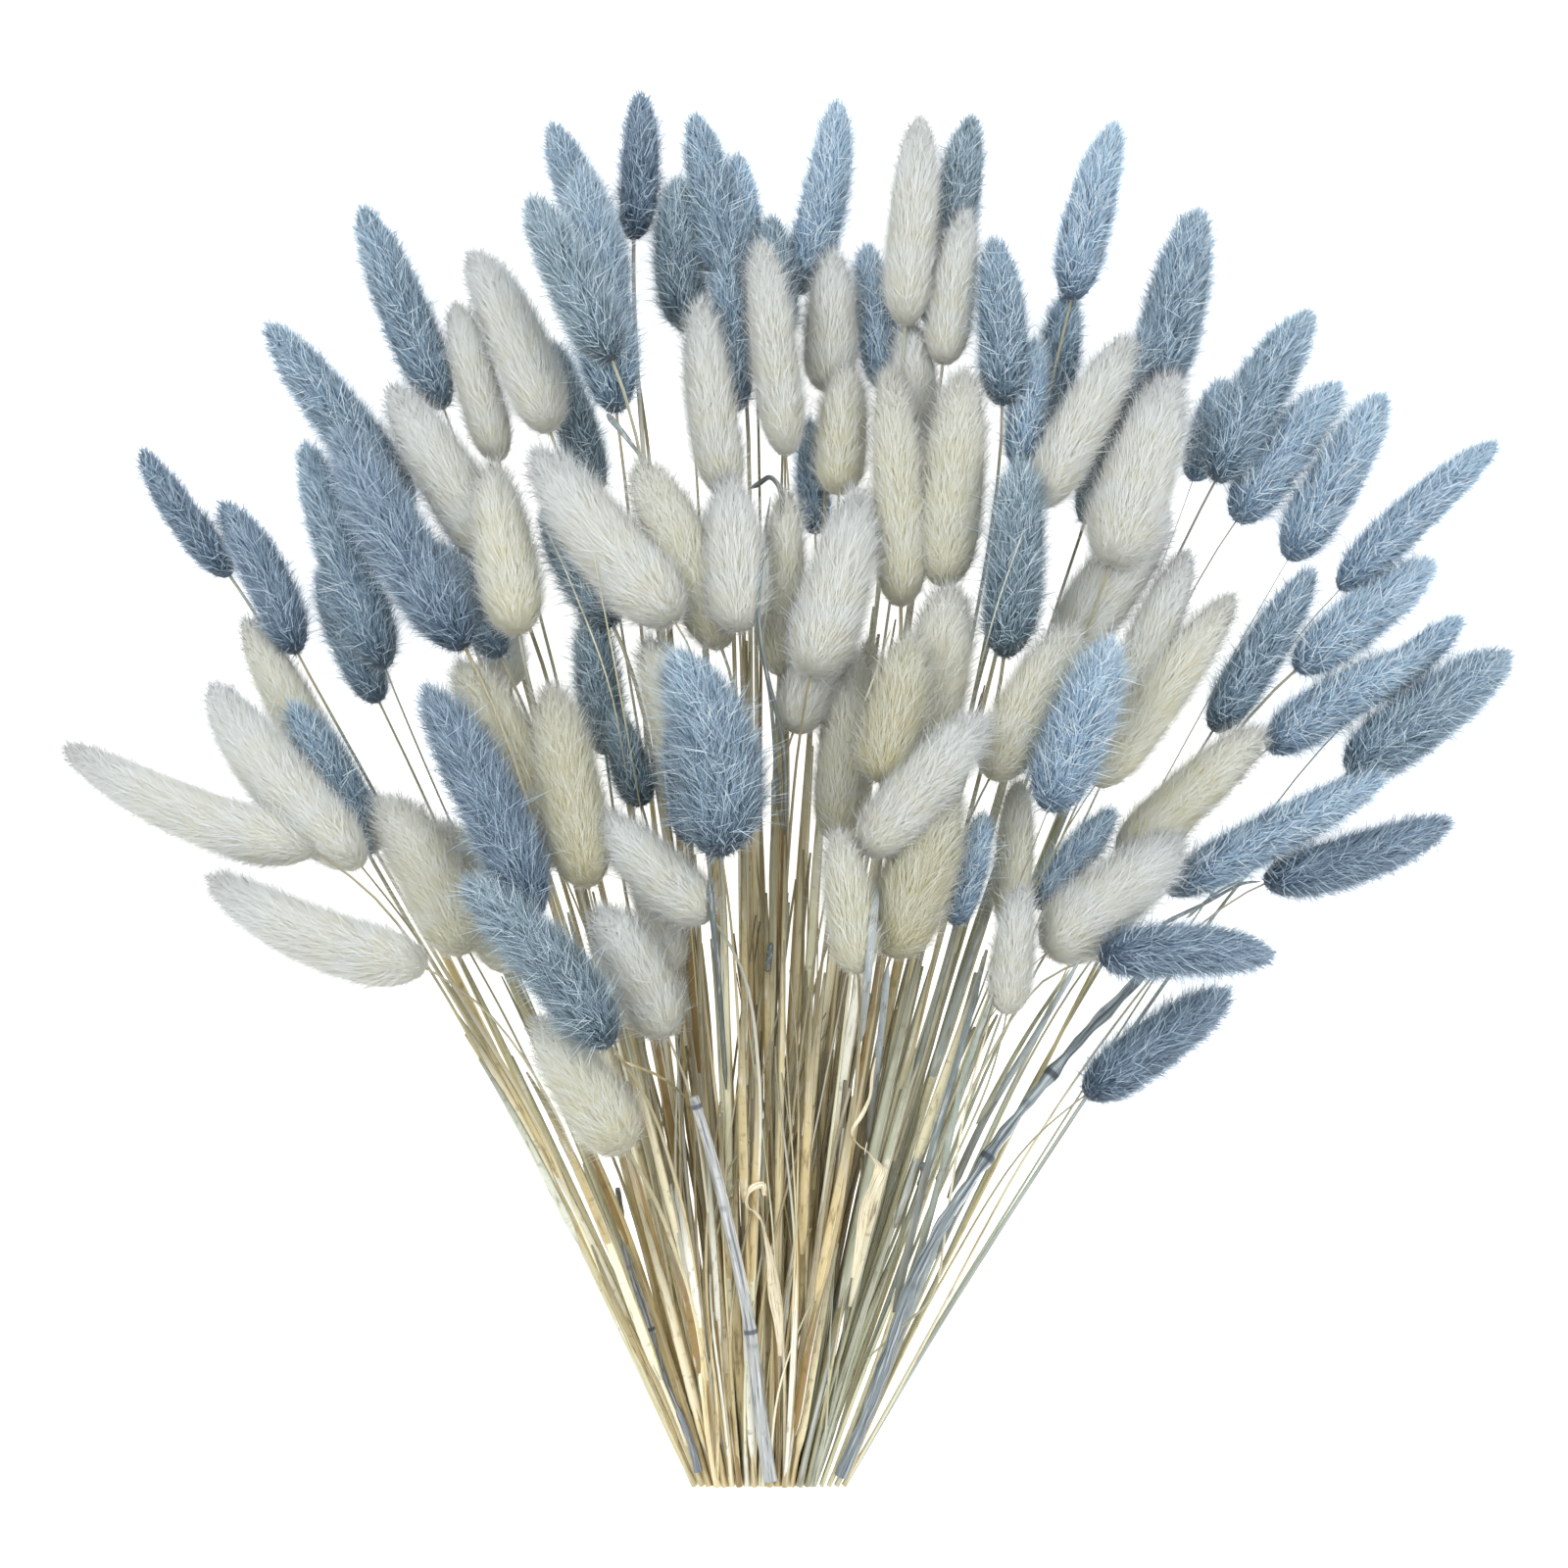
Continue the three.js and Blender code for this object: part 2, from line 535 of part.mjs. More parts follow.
function addCoarseStem(name, plan, radius, material) {
  addSeated(name, bentSolid(layRoute(plan, evenly(radius)), evenly(radius), coarseSides), material);
}

function addLeaf(name, plan) {
  const route = layRoute(plan, () => leafWidth.low / 2);
  addSeated(name, bladeSolid(route, evenly(leafWidth), leafThickness), materials.dryLeaf);
}

addCoarseStem('grey_culm', culmRoute, culmRadius, materials.greyStem);
addCoarseStem('blue_grey_branch', branchRoute, branchRadius, materials.blueStem);
addCoarseStem('dark_twig', twigRoute, twigRadius, materials.blueStem);
addLeaf('curled_leaf_left', leftLeafRoute);
addLeaf('curled_leaf_right', rightLeafRoute);

export default bunch;
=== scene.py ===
# A bunch of dried bunny tail grass, lying on a pale surface and seen from above.
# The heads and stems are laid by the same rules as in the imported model, in mm on its plan,
# and every piece is made in metres where the model has it.
import math
from types import SimpleNamespace
import bpy
import numpy as np
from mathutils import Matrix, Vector
from mathutils.kdtree import KDTree


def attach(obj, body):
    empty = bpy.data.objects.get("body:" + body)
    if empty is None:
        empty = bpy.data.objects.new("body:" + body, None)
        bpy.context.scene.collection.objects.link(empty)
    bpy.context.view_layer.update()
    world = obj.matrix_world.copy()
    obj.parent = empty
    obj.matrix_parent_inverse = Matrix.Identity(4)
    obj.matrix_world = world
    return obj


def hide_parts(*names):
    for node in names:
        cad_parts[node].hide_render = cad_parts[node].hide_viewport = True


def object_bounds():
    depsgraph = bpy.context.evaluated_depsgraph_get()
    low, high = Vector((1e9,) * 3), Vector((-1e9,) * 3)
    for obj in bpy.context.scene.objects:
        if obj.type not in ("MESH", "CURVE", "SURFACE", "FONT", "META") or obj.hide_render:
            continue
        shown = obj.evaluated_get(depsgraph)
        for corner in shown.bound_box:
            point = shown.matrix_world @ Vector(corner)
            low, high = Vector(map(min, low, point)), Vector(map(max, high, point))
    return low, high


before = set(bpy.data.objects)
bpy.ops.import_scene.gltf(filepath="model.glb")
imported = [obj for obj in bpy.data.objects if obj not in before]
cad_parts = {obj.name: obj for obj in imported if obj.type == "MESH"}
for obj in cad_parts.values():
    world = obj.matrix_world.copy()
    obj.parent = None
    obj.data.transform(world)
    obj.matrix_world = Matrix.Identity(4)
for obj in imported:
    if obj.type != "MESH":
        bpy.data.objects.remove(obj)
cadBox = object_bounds()
mm = 0.001

# The plan that places are read from: 1600 wide, y down, the origin at its middle
plan = dict(width=1600, bunchLength=430, planLength=1433, middle=(804.2, 807), gather=(785, 1668),
            cutLine=1518)
mmPerPixel = plan["bunchLength"] / plan["planLength"]


def place(spot):
    return np.array([spot[0] - plan["middle"][0], plan["middle"][1] - spot[1]]) * mmPerPixel


gather = place(plan["gather"])
cutY = place((0, plan["cutLine"]))[1]

# Heads on the plan: base x, y, tip x, y, width, layer (higher lies nearer the top), how far the
# middle bows to the left, and the tone that it is dyed in
blueHeads = [
    (232, 588, 138, 455, 44, 2, 4, 2), (303, 668, 222, 510, 56, 3, -6, 2),
    (418, 520, 268, 325, 66, 2, 0, 0), (393, 685, 305, 448, 66, 3, 0, 0), (478, 665, 342, 438, 78, 4, 4, 2),
    (385, 718, 322, 582, 52, 2, 0, 0), (452, 418, 365, 205, 62, 1, 0, 0), (512, 672, 448, 556, 52, 2, 0, 0),
    (385, 872, 298, 718, 60, 2, 0, 0), (552, 938, 436, 700, 74, 4, -6, 2),
    (628, 1066, 480, 898, 76, 5, -8, 3), (632, 300, 560, 120, 58, 1, 0, 0),
    (630, 425, 592, 170, 74, 2, 0, 0), (628, 372, 540, 200, 66, 3, 0, 3), (645, 243, 652, 88, 48, 2, -4, 2),
    (752, 310, 708, 110, 60, 1, 0, 0), (702, 338, 690, 178, 62, 2, 4, 3), (768, 300, 752, 150, 42, 1, 0, 1),
    (750, 422, 742, 262, 52, 1, 0, 0), (798, 350, 787, 218, 48, 1, 0, 3), (812, 300, 856, 95, 58, 1, -8, 1),
    (905, 398, 884, 245, 52, 1, 0, 1), (950, 332, 994, 112, 62, 1, 0, 3),
    (1024, 416, 1014, 242, 62, 3, -4, 0), (1094, 306, 1142, 118, 60, 2, 4, 1),
    (1066, 452, 1094, 292, 54, 1, 0, 0), (1040, 480, 1058, 345, 46, 1, 0, 1),
    (1024, 674, 1040, 470, 70, 2, -4, 3), (1178, 405, 1226, 210, 76, 1, 0, 0),
    (1108, 535, 1172, 335, 52, 1, 0, 0), (1240, 492, 1342, 315, 68, 2, 6, 0),
    (1262, 532, 1372, 388, 66, 3, 4, 1), (1316, 572, 1418, 398, 66, 2, 0, 1),
    (1220, 490, 1252, 385, 46, 1, 0, 1), (1368, 602, 1536, 446, 54, 2, 4, 1),
    (1322, 684, 1470, 570, 62, 2, 0, 1), (1402, 712, 1498, 628, 44, 1, 0, 1),
    (1293, 765, 1452, 668, 62, 3, 4, 1), (1376, 790, 1545, 665, 78, 2, 0, 0),
    (1238, 748, 1344, 578, 56, 2, 0, 0), (1188, 912, 1420, 788, 58, 3, 0, 1),
    (1290, 902, 1487, 838, 62, 2, -6, 2), (1118, 975, 1300, 975, 64, 4, 6, 2),
    (1106, 1120, 1258, 1012, 66, 4, 0, 2), (1066, 830, 1132, 655, 76, 4, 0, 1),
    (1056, 928, 1138, 826, 46, 2, 0, 1), (608, 505, 562, 346, 50, 1, 0, 3),
    (628, 640, 556, 520, 62, 2, 0, 3), (618, 772, 602, 622, 56, 1, 0, 3), (656, 824, 626, 728, 50, 2, 0, 3),
    (738, 876, 692, 668, 100, 5, -8, 0), (706, 862, 690, 735, 46, 2, 0, 2),
    (833, 545, 826, 425, 42, 1, 0, 1), (972, 945, 1004, 830, 44, 2, 0, 1),
]
whiteHeads = [
    (325, 868, 62, 760, 68, 3, 14, 0), (372, 884, 214, 698, 74, 2, 10, 0),
    (512, 575, 396, 392, 76, 2, 0, 0), (562, 440, 478, 252, 70, 3, -6, 0),
    (508, 470, 462, 306, 52, 2, 0, 0), (530, 648, 500, 472, 72, 3, 0, 1), (372, 868, 246, 628, 60, 1, 0, 1),
    (440, 985, 215, 895, 74, 3, 14, 0), (480, 972, 392, 816, 88, 3, -6, 1),
    (520, 992, 452, 840, 62, 2, 0, 1), (519, 702, 500, 590, 52, 1, 0, 0),
    (572, 884, 470, 676, 78, 2, -6, 2), (602, 906, 562, 700, 76, 2, 0, 2),
    (692, 636, 546, 462, 86, 4, 4, 0), (738, 662, 652, 474, 72, 3, -4, 1),
    (742, 508, 714, 306, 60, 2, 4, 0), (755, 646, 744, 492, 72, 4, 0, 0), (803, 466, 776, 246, 56, 2, 0, 0),
    (846, 398, 850, 256, 64, 2, 0, 0), (856, 505, 864, 372, 60, 2, 0, 1), (924, 332, 940, 114, 60, 2, 0, 0),
    (962, 372, 986, 214, 54, 2, 0, 0), (942, 470, 928, 326, 54, 1, 0, 0),
    (920, 620, 906, 374, 66, 3, -4, 1), (962, 600, 984, 378, 74, 2, 0, 1),
    (940, 765, 972, 600, 78, 2, 0, 1), (826, 690, 878, 502, 80, 4, -4, 0),
    (808, 748, 850, 640, 62, 3, 0, 0), (795, 690, 802, 500, 56, 2, 0, 1), (708, 800, 662, 652, 62, 2, 0, 1),
    (1058, 518, 1154, 342, 62, 3, 0, 0), (1132, 578, 1198, 382, 88, 4, 0, 0),
    (1086, 662, 1188, 520, 76, 3, 0, 0), (1132, 752, 1214, 562, 58, 2, 0, 0),
    (1116, 802, 1262, 604, 62, 3, 0, 1), (1142, 876, 1290, 744, 62, 3, 0, 1),
    (1066, 972, 1204, 858, 86, 3, 0, 0), (1008, 795, 1096, 640, 74, 3, 0, 1),
    (1030, 950, 1040, 795, 46, 3, 0, 1), (1026, 1034, 1040, 905, 52, 4, 0, 0),
    (880, 870, 1002, 732, 70, 4, 0, 0), (908, 976, 966, 800, 86, 3, 0, 2),
    (876, 992, 854, 848, 58, 5, 0, 1), (852, 860, 872, 660, 62, 2, 0, 1), (898, 800, 930, 650, 74, 2, 0, 2),
    (728, 936, 616, 834, 68, 4, 4, 0), (682, 1056, 614, 928, 74, 4, -4, 0),
    (642, 1172, 552, 1040, 80, 4, 0, 1), (690, 990, 655, 880, 50, 2, 0, 0),
    (876, 812, 888, 650, 40, 1, 0, 2),
]

# How things are laid down, in mm
rules = dict(
    stemRadius=(1.02, 0.7), stemSteps=5, bendShare=0.3, bendMost=34, fanShare=0.45, cutOverhang=1,
    slotPitch=(2.3, 2.2), slotColumns=21, slotRows=(2.5, 6.1), slotStagger=0.4, lowestSlot=1.2,
    bodyShare=0.88, widestAt=0.32, spheres=9, layerReach=150, steepest=6, slopeStep=0.05,
    easySlope=0.05, slopeCost=8, clearGap=0.8, seatGap=0.3, pressShare=0.76, floorSink=0.5,
    drapePasses=60, settleBack=0.5, coarseSpacing=6, stemSpacing=4,
)


def headProfile(t):
    t = np.asarray(t, float)
    wide = rules["widestAt"]
    low = np.sqrt(np.clip(1 - ((wide - t) / (wide + 0.02)) ** 2, 0, 1))
    high = np.clip(1 - (np.clip(t - wide, 0, None) / (1.02 - wide)) ** 2.2, 0, 1) ** 0.75
    return np.where(t < wide, low, high)


def planPoint(head, t):
    side = head.bow * 4 * t * (1 - t)
    return head.base + head.along * head.length * t + np.array([-head.along[1], head.along[0]]) * side


def measureHead(row, colour, number):
    bx, by, tx, ty, width, layer, bow, tone = row
    base, tip = place((bx, by)), place((tx, ty))
    length = math.hypot(*(tip - base))
    head = SimpleNamespace(colour=colour, number=number, tone=tone, base=base, length=length)
    head.along = (tip - base) / length
    head.bow = bow * mmPerPixel
    head.fullRadius = width * mmPerPixel / 2
    head.order = math.hypot(bx - plan["gather"][0], by - plan["gather"][1]) - rules["layerReach"] * layer
    t = (np.arange(rules["spheres"]) + 0.5) / rules["spheres"]
    radii = head.fullRadius * rules["bodyShare"] * headProfile(t)
    spots = np.array([planPoint(head, share) for share in t])
    head.balls = np.column_stack([spots, np.zeros(len(t)), radii, np.full(len(t), colour == "blue")])
    head.shares = t
    return head


def heightOver(x, y, balls, reach):
    room = reach ** 2 - (x - balls[:, 0]) ** 2 - (y - balls[:, 1]) ** 2
    over = room > 0
    return (balls[over, 2] + np.sqrt(room[over])).max(initial=-np.inf)


def settleHead(head, headBalls, stemBalls):
    needs = []
    for x, y, _, r, isBlue in head.balls:
        same = headBalls[:, 4] == isBlue
        apart = r + headBalls[:, 3]
        reach = np.where(same, rules["pressShare"] * apart, apart + rules["clearGap"])
        need = max(r - rules["floorSink"], heightOver(x, y, headBalls, reach))
        needs.append(max(need, heightOver(x, y, stemBalls, r + stemBalls[:, 3] + rules["clearGap"])))
    best = None
    for i in range(-rules["steepest"], rules["steepest"] + 1):
        slope = i * rules["slopeStep"]
        low = max(need - slope * t * head.length for need, t in zip(needs, head.shares))
        cost = low + slope * head.length / 2 + rules["slopeCost"] * abs(slope - rules["easySlope"])
        if best is None or cost < best[0]:
            best = (cost, low, slope)
    head.baseZ, head.slope = best[1], best[2]
    head.balls[:, 2] = head.baseZ + head.slope * head.shares * head.length


def stemRadiusAt(share):
    low, high = rules["stemRadius"]
    return low + (high - low) * share


def stemRoute(head):
    start = np.array([head.slot[0], cutY - rules["cutOverhang"]])
    span = math.hypot(*(head.base - start))
    fan = head.base - gather
    bend = min(rules["bendShare"] * span, rules["bendMost"])
    corners = [start, start + fan * span * rules["fanShare"] / math.hypot(*fan),
               head.base - head.along * bend, head.base - head.along * rules["seatGap"]]
    points = []
    for i in range(rules["stemSteps"] + 1):
        t = i / rules["stemSteps"]
        weights = ((1 - t) ** 3, 3 * t * (1 - t) ** 2, 3 * t * t * (1 - t), t ** 3)
        spot = sum(w * corner for w, corner in zip(weights, corners))
        points.append([spot[0], spot[1], head.slot[1] + (head.baseZ - head.slot[1]) * t])
    return np.array(points)


def drapeRoute(points, balls):
    last = len(points) - 1

    def needAt(point, share):
        r = stemRadiusAt(share)
        return max(r, heightOver(point[0], point[1], balls, r + balls[:, 3] + rules["clearGap"]))

    rest = np.zeros(last + 1)
    for i in range(1, last):
        rest[i] = needAt(points[i], i / last)
        points[i, 2] = max(rest[i], points[i, 2])
    samples = []
    for i in range(last):
        steps = math.ceil(np.linalg.norm(points[i + 1] - points[i]) / rules["stemSpacing"])
        for k in range(1, steps):
            share = k / steps
            between = points[i] + (points[i + 1] - points[i]) * share
            samples.append((i, share, needAt(between, (i + share) / last)))
    for _ in range(rules["drapePasses"]):
        for i in range(1, last):
            points[i, 2] = max(rest[i], (points[i - 1, 2] + points[i + 1, 2]) / 2)
        for i, share, need in samples:
            lift = need - (points[i, 2] * (1 - share) + points[i + 1, 2] * share)
            if lift <= 0:
                continue
            low = 1 - share if i > 0 else 0
            high = share if i + 1 < last else 0
            for k, part in ((i, low), (i + 1, high)):
                if part:
                    step = lift * part / (low * low + high * high)
                    points[k, 2] += step
                    rest[k] = max(rest[k], points[k, 2] - rules["settleBack"] * step)


def ballsAlong(points, spacing):
    last = len(points) - 1
    balls = []
    for i in range(last):
        steps = math.ceil(np.linalg.norm(points[i + 1] - points[i]) / spacing)
        for k in range(steps + 1):
            spot = points[i] + (points[i + 1] - points[i]) * k / steps
            balls.append([*spot, stemRadiusAt((i + k / steps) / last), -1])
    return np.array(balls)


def giveSlots(heads):
    count = rules["slotColumns"]
    edge, middle = rules["slotRows"]
    ends, total = [], 0
    for c in range(count):
        across = (c - (count - 1) / 2) / (count / 2 + 0.5)
        total += edge + (middle - edge) * math.sqrt(1 - across * across)
        ends.append(total)
    columns = [[] for _ in ends]
    fanned = sorted(heads, key=lambda head: (head.base[0] - gather[0]) / (head.base[1] - gather[1]))
    for i, head in enumerate(fanned):
        head.fanShare = (i + 0.5) / len(fanned)
        columns[next(c for c, end in enumerate(ends) if head.fanShare * total <= end)].append(head)
    for c, column in enumerate(columns):
        column.sort(key=lambda head: -head.order)
        for row, head in enumerate(column):
            x = gather[0] + (c - (count - 1) / 2) * rules["slotPitch"][0]
            z = rules["lowestSlot"] + (row + (c % 2) * rules["slotStagger"]) * rules["slotPitch"][1]
            head.slot = (x, z)


def layBunch():
    heads = [measureHead(row, "blue", i + 1) for i, row in enumerate(blueHeads)]
    heads += [measureHead(row, "white", i + 1) for i, row in enumerate(whiteHeads)]
    giveSlots(heads)
    heads.sort(key=lambda head: -head.order)
    headBalls = np.zeros((0, 5))
    stemBalls = np.zeros((0, 5))
    for head in heads:
        settleHead(head, headBalls, stemBalls)
        head.route = stemRoute(head)
        drapeRoute(head.route, headBalls)
        headBalls = np.vstack([headBalls, head.balls])
        stemBalls = np.vstack([stemBalls, ballsAlong(head.route, rules["coarseSpacing"])])
    return heads


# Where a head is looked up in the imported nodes: along it and out from its middle, as shares
probes = dict(spots=((0, 0), (0.07, 0.74), (0.98, 0)), turns=6, touching=0.1 * mm)


def matchNodes(heads):
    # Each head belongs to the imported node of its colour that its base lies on
    for colour in ("blue", "white"):
        names = sorted(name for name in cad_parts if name.startswith(colour + "_heads"))
        spots = [(name, v.co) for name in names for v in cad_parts[name].data.vertices]
        tree = KDTree(len(spots))
        for i, (_, co) in enumerate(spots):
            tree.insert(co, i)
        tree.balance()
        for head in heads:
            if head.colour != colour:
                continue
            votes = {}
            for share, out in probes["spots"]:
                reach = out * head.fullRadius * rules["bodyShare"] * float(headProfile(share))
                for turn in range(probes["turns"] if out else 1):
                    spot = onHead(head, share, reach, turn * 2 * math.pi / probes["turns"])
                    _, index, gap = tree.find(spot * mm)
                    name = spots[index][0]
                    votes.setdefault(name, []).append(gap)
            head.node = max(votes, key=lambda name: (
                sum(gap < probes["touching"] for gap in votes[name]), -min(votes[name])))
            head.miss = min(votes[head.node])
    worst = max(head.miss for head in heads)
    print("heads matched to nodes, the furthest by mm", round(worst / mm, 3))


def onHead(head, t, r, angle):
    x, y = planPoint(head, t)
    tangent = Vector((head.along[0], head.along[1], head.slope)).normalized()
    side = Vector((-head.along[1], head.along[0], 0))
    up = tangent.cross(side)
    spot = Vector((x, y, head.baseZ + head.slope * t * head.length))
    spot += side * r * math.cos(angle) + up * r * math.sin(angle)
    spot.z = max(spot.z, 0)
    return spot


heads = layBunch()
matchNodes(heads)
print("laid", len(heads), "heads")

# The outer stems stay a little closer to the middle before they fan out
closing = dict(most=5, past=0.3, steps=(0, 0.75, 1, 0.7, 0.3, 0))
for head in heads:
    out = head.fanShare * 2 - 1
    pull = closing["most"] * math.copysign(max(abs(out) - closing["past"], 0) / (1 - closing["past"]), out)
    head.route[:, 0] -= pull * np.array(closing["steps"])


class Wire:                                    # a socket that reads as plain maths
    def __init__(self, sheet, socket):
        self.sheet, self.socket = sheet, socket

    def of(self, name):                        # another output of the same node
        return Wire(self.sheet, self.socket.node.outputs[name])

    def __add__(self, other):
        return self.sheet.maths("ADD", self, other)

    def __sub__(self, other):
        return self.sheet.maths("SUBTRACT", self, other)

    def __mul__(self, other):
        return self.sheet.maths("MULTIPLY", self, other)

    def __truediv__(self, other):
        return self.sheet.maths("DIVIDE", self, other)

    def __rsub__(self, other):
        return self.sheet.maths("SUBTRACT", other, self)

    def __rtruediv__(self, other):
        return self.sheet.maths("DIVIDE", other, self)

    __radd__ = __add__
    __rmul__ = __mul__


class Sheet:                                   # a node tree, of a material or of geometry
    def __init__(self, tree):
        self.tree = tree
        tree.nodes.clear()

    def node(self, kind, settings=None, values=None, out=0):
        made = self.tree.nodes.new(kind)
        for name, value in (settings or {}).items():
            if name == "stops":
                while len(made.color_ramp.elements) < len(value):
                    made.color_ramp.elements.new(0.5)
                for stop, (at, colour) in zip(made.color_ramp.elements, value):
                    stop.position, stop.color = at, (*colour, 1)
            else:
                setattr(made, name, value)
        for name, value in (values or {}).items():
            if isinstance(value, Wire):
                self.tree.links.new(value.socket, made.inputs[name])
            else:
                made.inputs[name].default_value = value
        return Wire(self, made.outputs[out]) if len(made.outputs) else made

    def maths(self, operation, *values):
        return self.node("ShaderNodeMath", {"operation": operation}, dict(enumerate(values)))

    def vector(self, operation, *values, **named):
        given = {**dict(enumerate(values)), **named}
        return self.node("ShaderNodeVectorMath", {"operation": operation}, given)

    def combine(self, x, y, z=0.0):
        return self.node("ShaderNodeCombineXYZ", {}, {0: x, 1: y, 2: z})

    def blend(self, share, a, b):
        return self.node("ShaderNodeMix", {"data_type": "RGBA"}, {0: share, 6: a, 7: b}, out=2)

    def step(self, value, low, high):          # 0 below low, 1 above high, smooth between
        return self.node("ShaderNodeMapRange", {"interpolation_type": "SMOOTHSTEP"},
                         {0: value, 1: low, 2: high, 3: 0.0, 4: 1.0})

    def noise(self, spot, scale, detail=2.0, rough=0.5):
        return self.node("ShaderNodeTexNoise", {}, {"Vector": spot, "Scale": scale, "Detail": detail,
                                                   "Roughness": rough})


def tint(red, green, blue):                    # a colour as it looks on screen, for a socket
    flat = [v / 255 for v in (red, green, blue)]
    return (*[v / 12.92 if v <= 0.04045 else ((v + 0.055) / 1.055) ** 2.4 for v in flat], 1)


palette = "OFBake"                             # the UV map that every finish reads


def newFinish(name):
    finish = bpy.data.materials.new(name)
    finish.use_nodes = True
    sheet = Sheet(finish.node_tree)
    spot = sheet.node("ShaderNodeUVMap", {"uv_map": palette})
    parts = sheet.node("ShaderNodeSeparateXYZ", {}, {0: spot})
    return finish, sheet, parts, parts.of("Y")


def closeFinish(sheet, colour, roughness, **gloss):
    values = {"Base Color": colour, "Roughness": roughness}
    values.update({name.replace("_", " "): value for name, value in gloss.items()})
    surface = sheet.node("ShaderNodeBsdfPrincipled", {}, values)
    sheet.node("ShaderNodeOutputMaterial", {}, {"Surface": surface})


# Hair: u runs from base to tip of a head, v from root to tip of a hair, and awns have u past 1
# Along each hair the root tone is darker and the tip paler: partly the hair's own colour, partly painted
# shade deep in the coat and painted light on the outer tips
hairTones = {
    "blue": [
        dict(name="slateHair", root=(59, 79, 96), body=(118, 146, 166), tip=(182, 207, 227),
             awn=(226, 240, 243)),
        dict(name="skyHair", root=(83, 108, 132), body=(148, 178, 205), tip=(206, 230, 243),
             awn=(238, 243, 243)),
        dict(name="denimHair", root=(51, 69, 89), body=(101, 126, 148), tip=(163, 186, 206),
             awn=(197, 216, 230)),
        dict(name="sageHair", root=(59, 78, 87), body=(114, 140, 155), tip=(180, 202, 215),
             awn=(215, 230, 237)),
    ],
    "white": [
        dict(name="snowHair", root=(219, 218, 201), body=(221, 224, 219), tip=(225, 232, 235),
             awn=(238, 243, 243), warm=(221, 217, 190)),
        dict(name="creamHair", root=(219, 216, 186), body=(224, 224, 210), tip=(227, 232, 228),
             awn=(238, 242, 239), warm=(219, 214, 171)),
        dict(name="ochreHair", root=(199, 193, 150), body=(210, 208, 183), tip=(217, 220, 210),
             awn=(229, 232, 220), warm=(202, 194, 144)),
    ],
}
hairLook = {
    "blue": dict(streakDepth=0.55, bodyAt=0.35, tipAt=0.9, roughness=0.7, sheen=0.3),
    "white": dict(streakDepth=0.12, bodyAt=0.3, tipAt=0.8, roughness=0.85, sheen=0.8, warmth=0.42),
}
# For both colours: frost lightens the tip of a head, painted shade darkens its base, patches are the creamier
# ones
bothLook = dict(frost=0.16, frostFrom=0.35, paintedShade=0.05, paintedShadeTo=0.3, patches=9, patchFrom=0.38,
                patchFull=0.62, patchUntil=0.9)
hairsInPalette = 140                           # separate hairs along the palette
awnsFrom = 1.005                               # u past which the palette is for awns


def hairFinish(colour, tone):
    look = hairLook[colour]
    finish, sheet, along, rise = newFinish(tone["name"])
    strand = sheet.noise(sheet.combine(along * hairsInPalette, rise * 0.6), 1.0, 1.0)
    frost = sheet.step(along, bothLook["frostFrom"], 1.0) * bothLook["frost"]
    # Painted shade: the base of each head is darkened, taken off the frost term
    frost = frost - (1 - sheet.step(along, 0.0, bothLook["paintedShadeTo"])) * bothLook["paintedShade"]
    # Root to tip ramp: darker roots are partly painted shade in the coat, paler tips partly painted light
    ramp = sheet.node("ShaderNodeValToRGB", {"stops": [
        (0.0, tint(*tone["root"])[:3]), (look["bodyAt"], tint(*tone["body"])[:3]),
        (look["tipAt"], tint(*tone["tip"])[:3])]},
        {0: rise * 0.9 + (strand - 0.45) * look["streakDepth"] + frost})
    if "warm" in tone:                         # creamier patches, most of them low on the head
        patch = sheet.noise(sheet.combine(along * bothLook["patches"], rise * 0.8), 1.0, 1.0)
        patch = sheet.step(patch, bothLook["patchFrom"], bothLook["patchFull"])
        low = 1 - sheet.step(along, bothLook["frostFrom"], bothLook["patchUntil"])
        ramp = sheet.blend(patch * low * look["warmth"], ramp, tint(*tone["warm"]))
    awn = sheet.blend(sheet.step(strand, 0.4, 0.6), tint(*tone["tip"]), tint(*tone["awn"]))
    coloured = sheet.blend(sheet.step(along, awnsFrom, awnsFrom + 0.005), ramp, awn)
    closeFinish(sheet, coloured, look["roughness"], Sheen_Weight=look["sheen"])
    return finish


hairFinishes = {colour: [hairFinish(colour, tone) for tone in tones] for colour, tones in hairTones.items()}


def deselectAll():
    if bpy.context.object and bpy.context.object.mode != "OBJECT":
        bpy.ops.object.mode_set(mode="OBJECT")
    bpy.ops.object.select_all(action="DESELECT")


def readPlaces(mesh):
    co = np.zeros(len(mesh.vertices) * 3)
    mesh.vertices.foreach_get("co", co)
    return co.reshape(-1, 3)


def writePlaces(mesh, co):
    mesh.vertices.foreach_set("co", co.reshape(-1))
    mesh.update()


def paintPalette(mesh, uv):
    layer = mesh.uv_layers.get(palette) or mesh.uv_layers.new(name=palette)
    layer.data.foreach_set("uv", np.asarray(uv, float).reshape(-1))
    mesh.uv_layers.active = layer


def cornerVertices(mesh):
    index = np.zeros(len(mesh.loops), int)
    mesh.loops.foreach_get("vertex_index", index)
    return index


def copyPiece(master, name):
    piece = master.copy()
    piece.data = master.data.copy()
    piece.name = piece.data.name = name
    bpy.context.scene.collection.objects.link(piece)
    return piece


